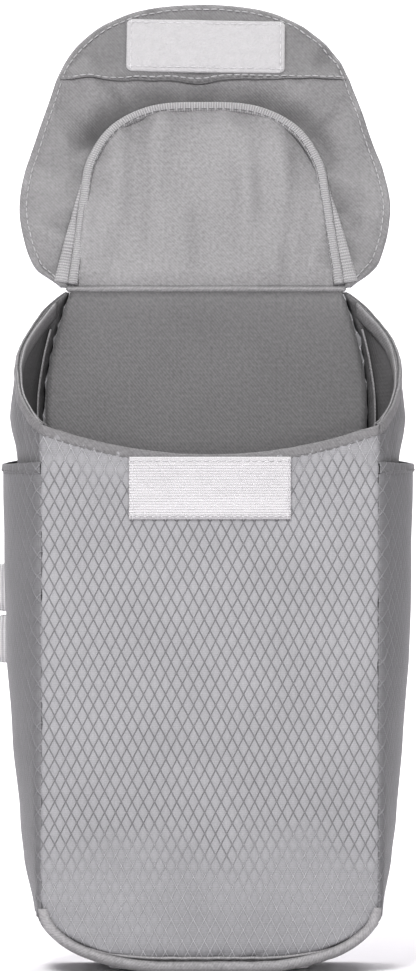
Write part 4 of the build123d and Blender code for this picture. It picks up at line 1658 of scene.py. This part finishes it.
    def stitches(self) -> None:
        """Topstitching round the skirt's rim, across the facing and along the bindings."""
        rim = []
        for k in range(301):
            a = 0.02 + 0.96 * k / 300
            x1, v1 = self.rim.at(a)
            x0, v0 = self.arch.at(a)
            r = 1 - 3.0 * MM / max(math.hypot(x1 - x0, v1 - v0), 12 * MM)
            rim.append(self.skirt_at(r, a, self.lining + (0.45 if v1 < 103 * MM else 1.15) * MM))
        self.needle.sew("skirt_stitches", [rim], "lining", self.fold_span(), self.cloth.light_thread,
                        radius=0.27 * MM)
        across = []
        for k in range(101):
            x = -55.5 * MM + 111 * MM * k / 100
            v = self.facing_start + 1.0 * MM + 0.8 * MM * ripple(x, 0.0, 40 * MM, Seed.FACING_EDGE)
            r = 1 - min(1.0, (126 * MM - v) / (50 * MM))
            ridge = 0.3 * MM
            across.append(self.point(x, v, self.lining + 0.70 * MM + ridge + self.skirt_height(x, v, r)))
        self.needle.sew("facing_stitches", [across], "lining", "flap", self.cloth.light_thread,
                        radius=0.27 * MM)
        inner = self.outline_path(self.arch, 3.5 * MM, 3.3 * MM, 0.02, 0.98, 200)
        self.needle.sew("binding_stitches", [inner], "grosgrain", "lid")


def tube(name: str, surface: Surface, steps: tuple[int, int]) -> Piece:
    """A closed tube whose rule goes round with u and along with v."""
    nu, nv = steps
    points = [surface(i / nu, j / nv) for i in range(nu) for j in range(nv + 1)]
    faces: list[tuple[int, ...]] = []
    for i in range(nu):
        for j in range(nv):
            a, b = i * (nv + 1) + j, ((i + 1) % nu) * (nv + 1) + j
            faces.append((a, b, b + 1, a + 1))
    faces.append(tuple(i * (nv + 1) for i in range(nu)))
    faces.append(tuple(i * (nv + 1) + nv for i in range(nu - 1, -1, -1)))
    mesh = bpy.data.meshes.new(name)
    mesh.from_pydata(points, [], faces)
    layer = mesh.uv_layers.new(name="cloth")
    for loop in mesh.loops:
        i, j = divmod(loop.vertex_index, nv + 1)
        layer.data[loop.index].uv = (points[loop.vertex_index][0], 0.5 * MM * i)
    return finish_mesh(name, mesh)


# ---- Webbing loops -----------------------------------------------------------------------------------
@dataclass
class WebbingLoops:
    """Two folded webbing loops on the left rear seam, one above the other."""

    cloth: Wardrobe
    needle: StitchMachine
    pivot: tuple[float, float] = (-70.1 * MM, 36.2 * MM)
    heading: float = math.radians(146)
    centre: float = 12.3 * MM
    radius: float = 3.6 * MM
    thickness: float = 1.15 * MM

    def build(self) -> None:
        """Make and place both loops with a row of stitches near each seam end."""
        for word in ("lower", "upper"):
            low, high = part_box(f"{word}_webbing_loop")
            middle, width = (low[2] + high[2]) / 2, high[2] - low[2]
            path, normals = self.loop_path(middle)
            loop = ribbon(f"{word}_webbing", path, normals, width * 0.985, self.thickness,
                          lift=-self.thickness / 2, round_off=0.6)
            place(loop, self.cloth.webbing, f"{word}_tab", (f"{word}_webbing_loop",))
            rows = []
            for side in (-1, 1):
                x, y = self.turned(2.6 * MM, side * 1.62 * MM)
                rows.append([(x, y, middle + width * 0.9 * (k / 12 - 0.5)) for k in range(13)])
            self.needle.sew(f"{word}_webbing_stitches", rows, "webbing", f"{word}_tab",
                            self.cloth.white_thread, radius=0.2 * MM)

    def turned(self, along: float, aside: float) -> Flat:
        """Plan position of a place on a loop, from its pivot."""
        c, s = math.cos(self.heading), math.sin(self.heading)
        return (self.pivot[0] + along * c - aside * s, self.pivot[1] + along * s + aside * c)

    def loop_path(self, height: float) -> tuple[list[Point], list[Point]]:
        """Middle line of the folded webbing and the outward direction along it."""
        plan = [(0.4 * MM + 8.2 * MM * k / 10, (0.75 + 2.3 * ease(k / 10)) * MM) for k in range(10)]
        for k in range(25):
            angle = math.radians(112 - 224 * k / 24)
            plan.append((self.centre + self.radius * math.cos(angle), self.radius * math.sin(angle)))
        plan += [(x, -y) for x, y in reversed(plan[:10])]
        path, normals = [], []
        for k, (along, aside) in enumerate(plan):
            before, after = plan[max(k - 1, 0)], plan[min(k + 1, len(plan) - 1)]
            step = (after[0] - before[0], after[1] - before[1])
            x, y = self.turned(along, aside)
            nx, ny = self.turned(-step[1], step[0])
            path.append((x, y, height))
            normals.append((nx - self.pivot[0], ny - self.pivot[1], 0.0))
        return path, normals


# ---- Studio ------------------------------------------------------------------------------------------
@dataclass
class Studio:
    """Plain pale floor that curves up behind, soft lights and the camera."""

    azimuth: float = math.radians(-1.3)
    elevation: float = math.radians(1.6)
    distance: float = 5.0
    look_height: float = 194.5 * MM
    seen_height: float = 0.3915

    def build(self) -> None:
        """Set the floor, lights and camera."""
        self.floor()
        self.world()
        bpy.context.scene.view_settings.view_transform = "Standard"
        target = (0.0, 0.0, 0.2)
        self.light("key_softbox", (-0.45, -1.7, 1.8), 0.6, 62.0, target)
        self.light("low_softbox", (0.15, -2.8, 0.30), 0.6, 42.0, target)
        self.light("backdrop_softbox", (0.0, 1.0, 1.9), 1.6, 75.0, (0.0, 2.4, 0.5))
        self.camera()

    def floor(self) -> None:
        """A pale floor with a soft curve up into a backdrop."""
        turns = [0.5 * math.pi * k / 16 for k in range(1, 17)]
        rows = [(-3.0 + 4.2 * k / 12, 0.0) for k in range(13)]
        rows += [(1.2 + 0.8 * math.sin(turn), 0.8 * (1 - math.cos(turn))) for turn in turns]
        rows += [(2.0, 0.8 + 0.45 * k) for k in range(1, 7)]
        points = [(x, y, z) for y, z in rows for x in (-3.5, 3.5)]
        faces = [(2 * k, 2 * k + 1, 2 * k + 3, 2 * k + 2) for k in range(len(rows) - 1)]
        mesh = bpy.data.meshes.new("studio_floor")
        mesh.from_pydata(points, [], faces)
        for polygon in mesh.polygons:
            polygon.use_smooth = True
        floor = bpy.data.objects.new("studio_floor", mesh)
        bpy.context.scene.collection.objects.link(floor)
        paper = Shader("pale_paper")
        vector, _, _, _ = paper.place(False)
        grain = paper.mottle(vector, 120.0, 2.0)
        paper.wire(paper.tone(grain, grey(0.80), grey(0.83)), paper.surface.inputs["Base Color"])
        paper.settle(0.9, specular=0.1)
        side = paper.tree.nodes.new("ShaderNodeNewGeometry")
        clear = paper.tree.nodes.new("ShaderNodeBsdfTransparent")
        choice = paper.tree.nodes.new("ShaderNodeMixShader")
        paper.wire(side.outputs["Backfacing"], choice.inputs[0])
        paper.wire(paper.surface.outputs[0], choice.inputs[1])
        paper.wire(clear.outputs[0], choice.inputs[2])
        paper.wire(choice.outputs[0], paper.output.inputs[0])
        floor.data.materials.append(paper.material)

    def world(self) -> None:
        """Even pale surroundings."""
        world = bpy.data.worlds.new("studio")
        world.use_nodes = True
        background = world.node_tree.nodes["Background"]
        background.inputs[0].default_value = (1, 1, 1, 1)
        path = world.node_tree.nodes.new("ShaderNodeLightPath")
        strength = world.node_tree.nodes.new("ShaderNodeMath")
        strength.operation = "MAXIMUM"
        strength.inputs[1].default_value = 0.08
        world.node_tree.links.new(path.outputs["Is Camera Ray"], strength.inputs[0])
        world.node_tree.links.new(strength.outputs[0], background.inputs[1])
        bpy.context.scene.world = world

    def light(self, name: str, spot: Point, size: float, power: float, target: Point) -> None:
        """A square softbox aimed at the target."""
        data = bpy.data.lights.new(name, "AREA")
        data.shape = "SQUARE"
        data.size = size
        data.energy = power
        lamp = bpy.data.objects.new(name, data)
        lamp.location = spot
        lamp.visible_camera = False
        aim = Vector(target) - Vector(spot)
        lamp.rotation_euler = aim.to_track_quat("-Z", "Y").to_euler()
        bpy.context.scene.collection.objects.link(lamp)

    def camera(self) -> None:
        """Camera nearly face on, framing the pouch from tip to base."""
        data = bpy.data.cameras.new("camera")
        data.sensor_fit = "VERTICAL"
        data.sensor_height = 36.0
        data.lens = 36.0 * self.distance / self.seen_height
        camera = bpy.data.objects.new("camera", data)
        target = Vector((0, 0, self.look_height))
        away = Vector((math.sin(self.azimuth) * math.cos(self.elevation),
                       -math.cos(self.azimuth) * math.cos(self.elevation), math.sin(self.elevation)))
        camera.location = target + away * self.distance
        camera.rotation_euler = (-away).to_track_quat("-Z", "Y").to_euler()
        bpy.context.scene.collection.objects.link(camera)
        bpy.context.scene.camera = camera


def main() -> None:
    """Build the studio and every sub-assembly."""
    logging.basicConfig(level=logging.INFO, format="%(name)s: %(message)s")
    Studio().build()
    cloth = Wardrobe()
    needle = StitchMachine(cloth.thread)
    shape = PouchShape()
    PouchBody(shape, cloth, needle).build()
    SidePockets(shape, cloth, needle).build()
    Lid(cloth, needle).build()
    WebbingLoops(cloth, needle).build()


if __name__ == "__main__":
    main()
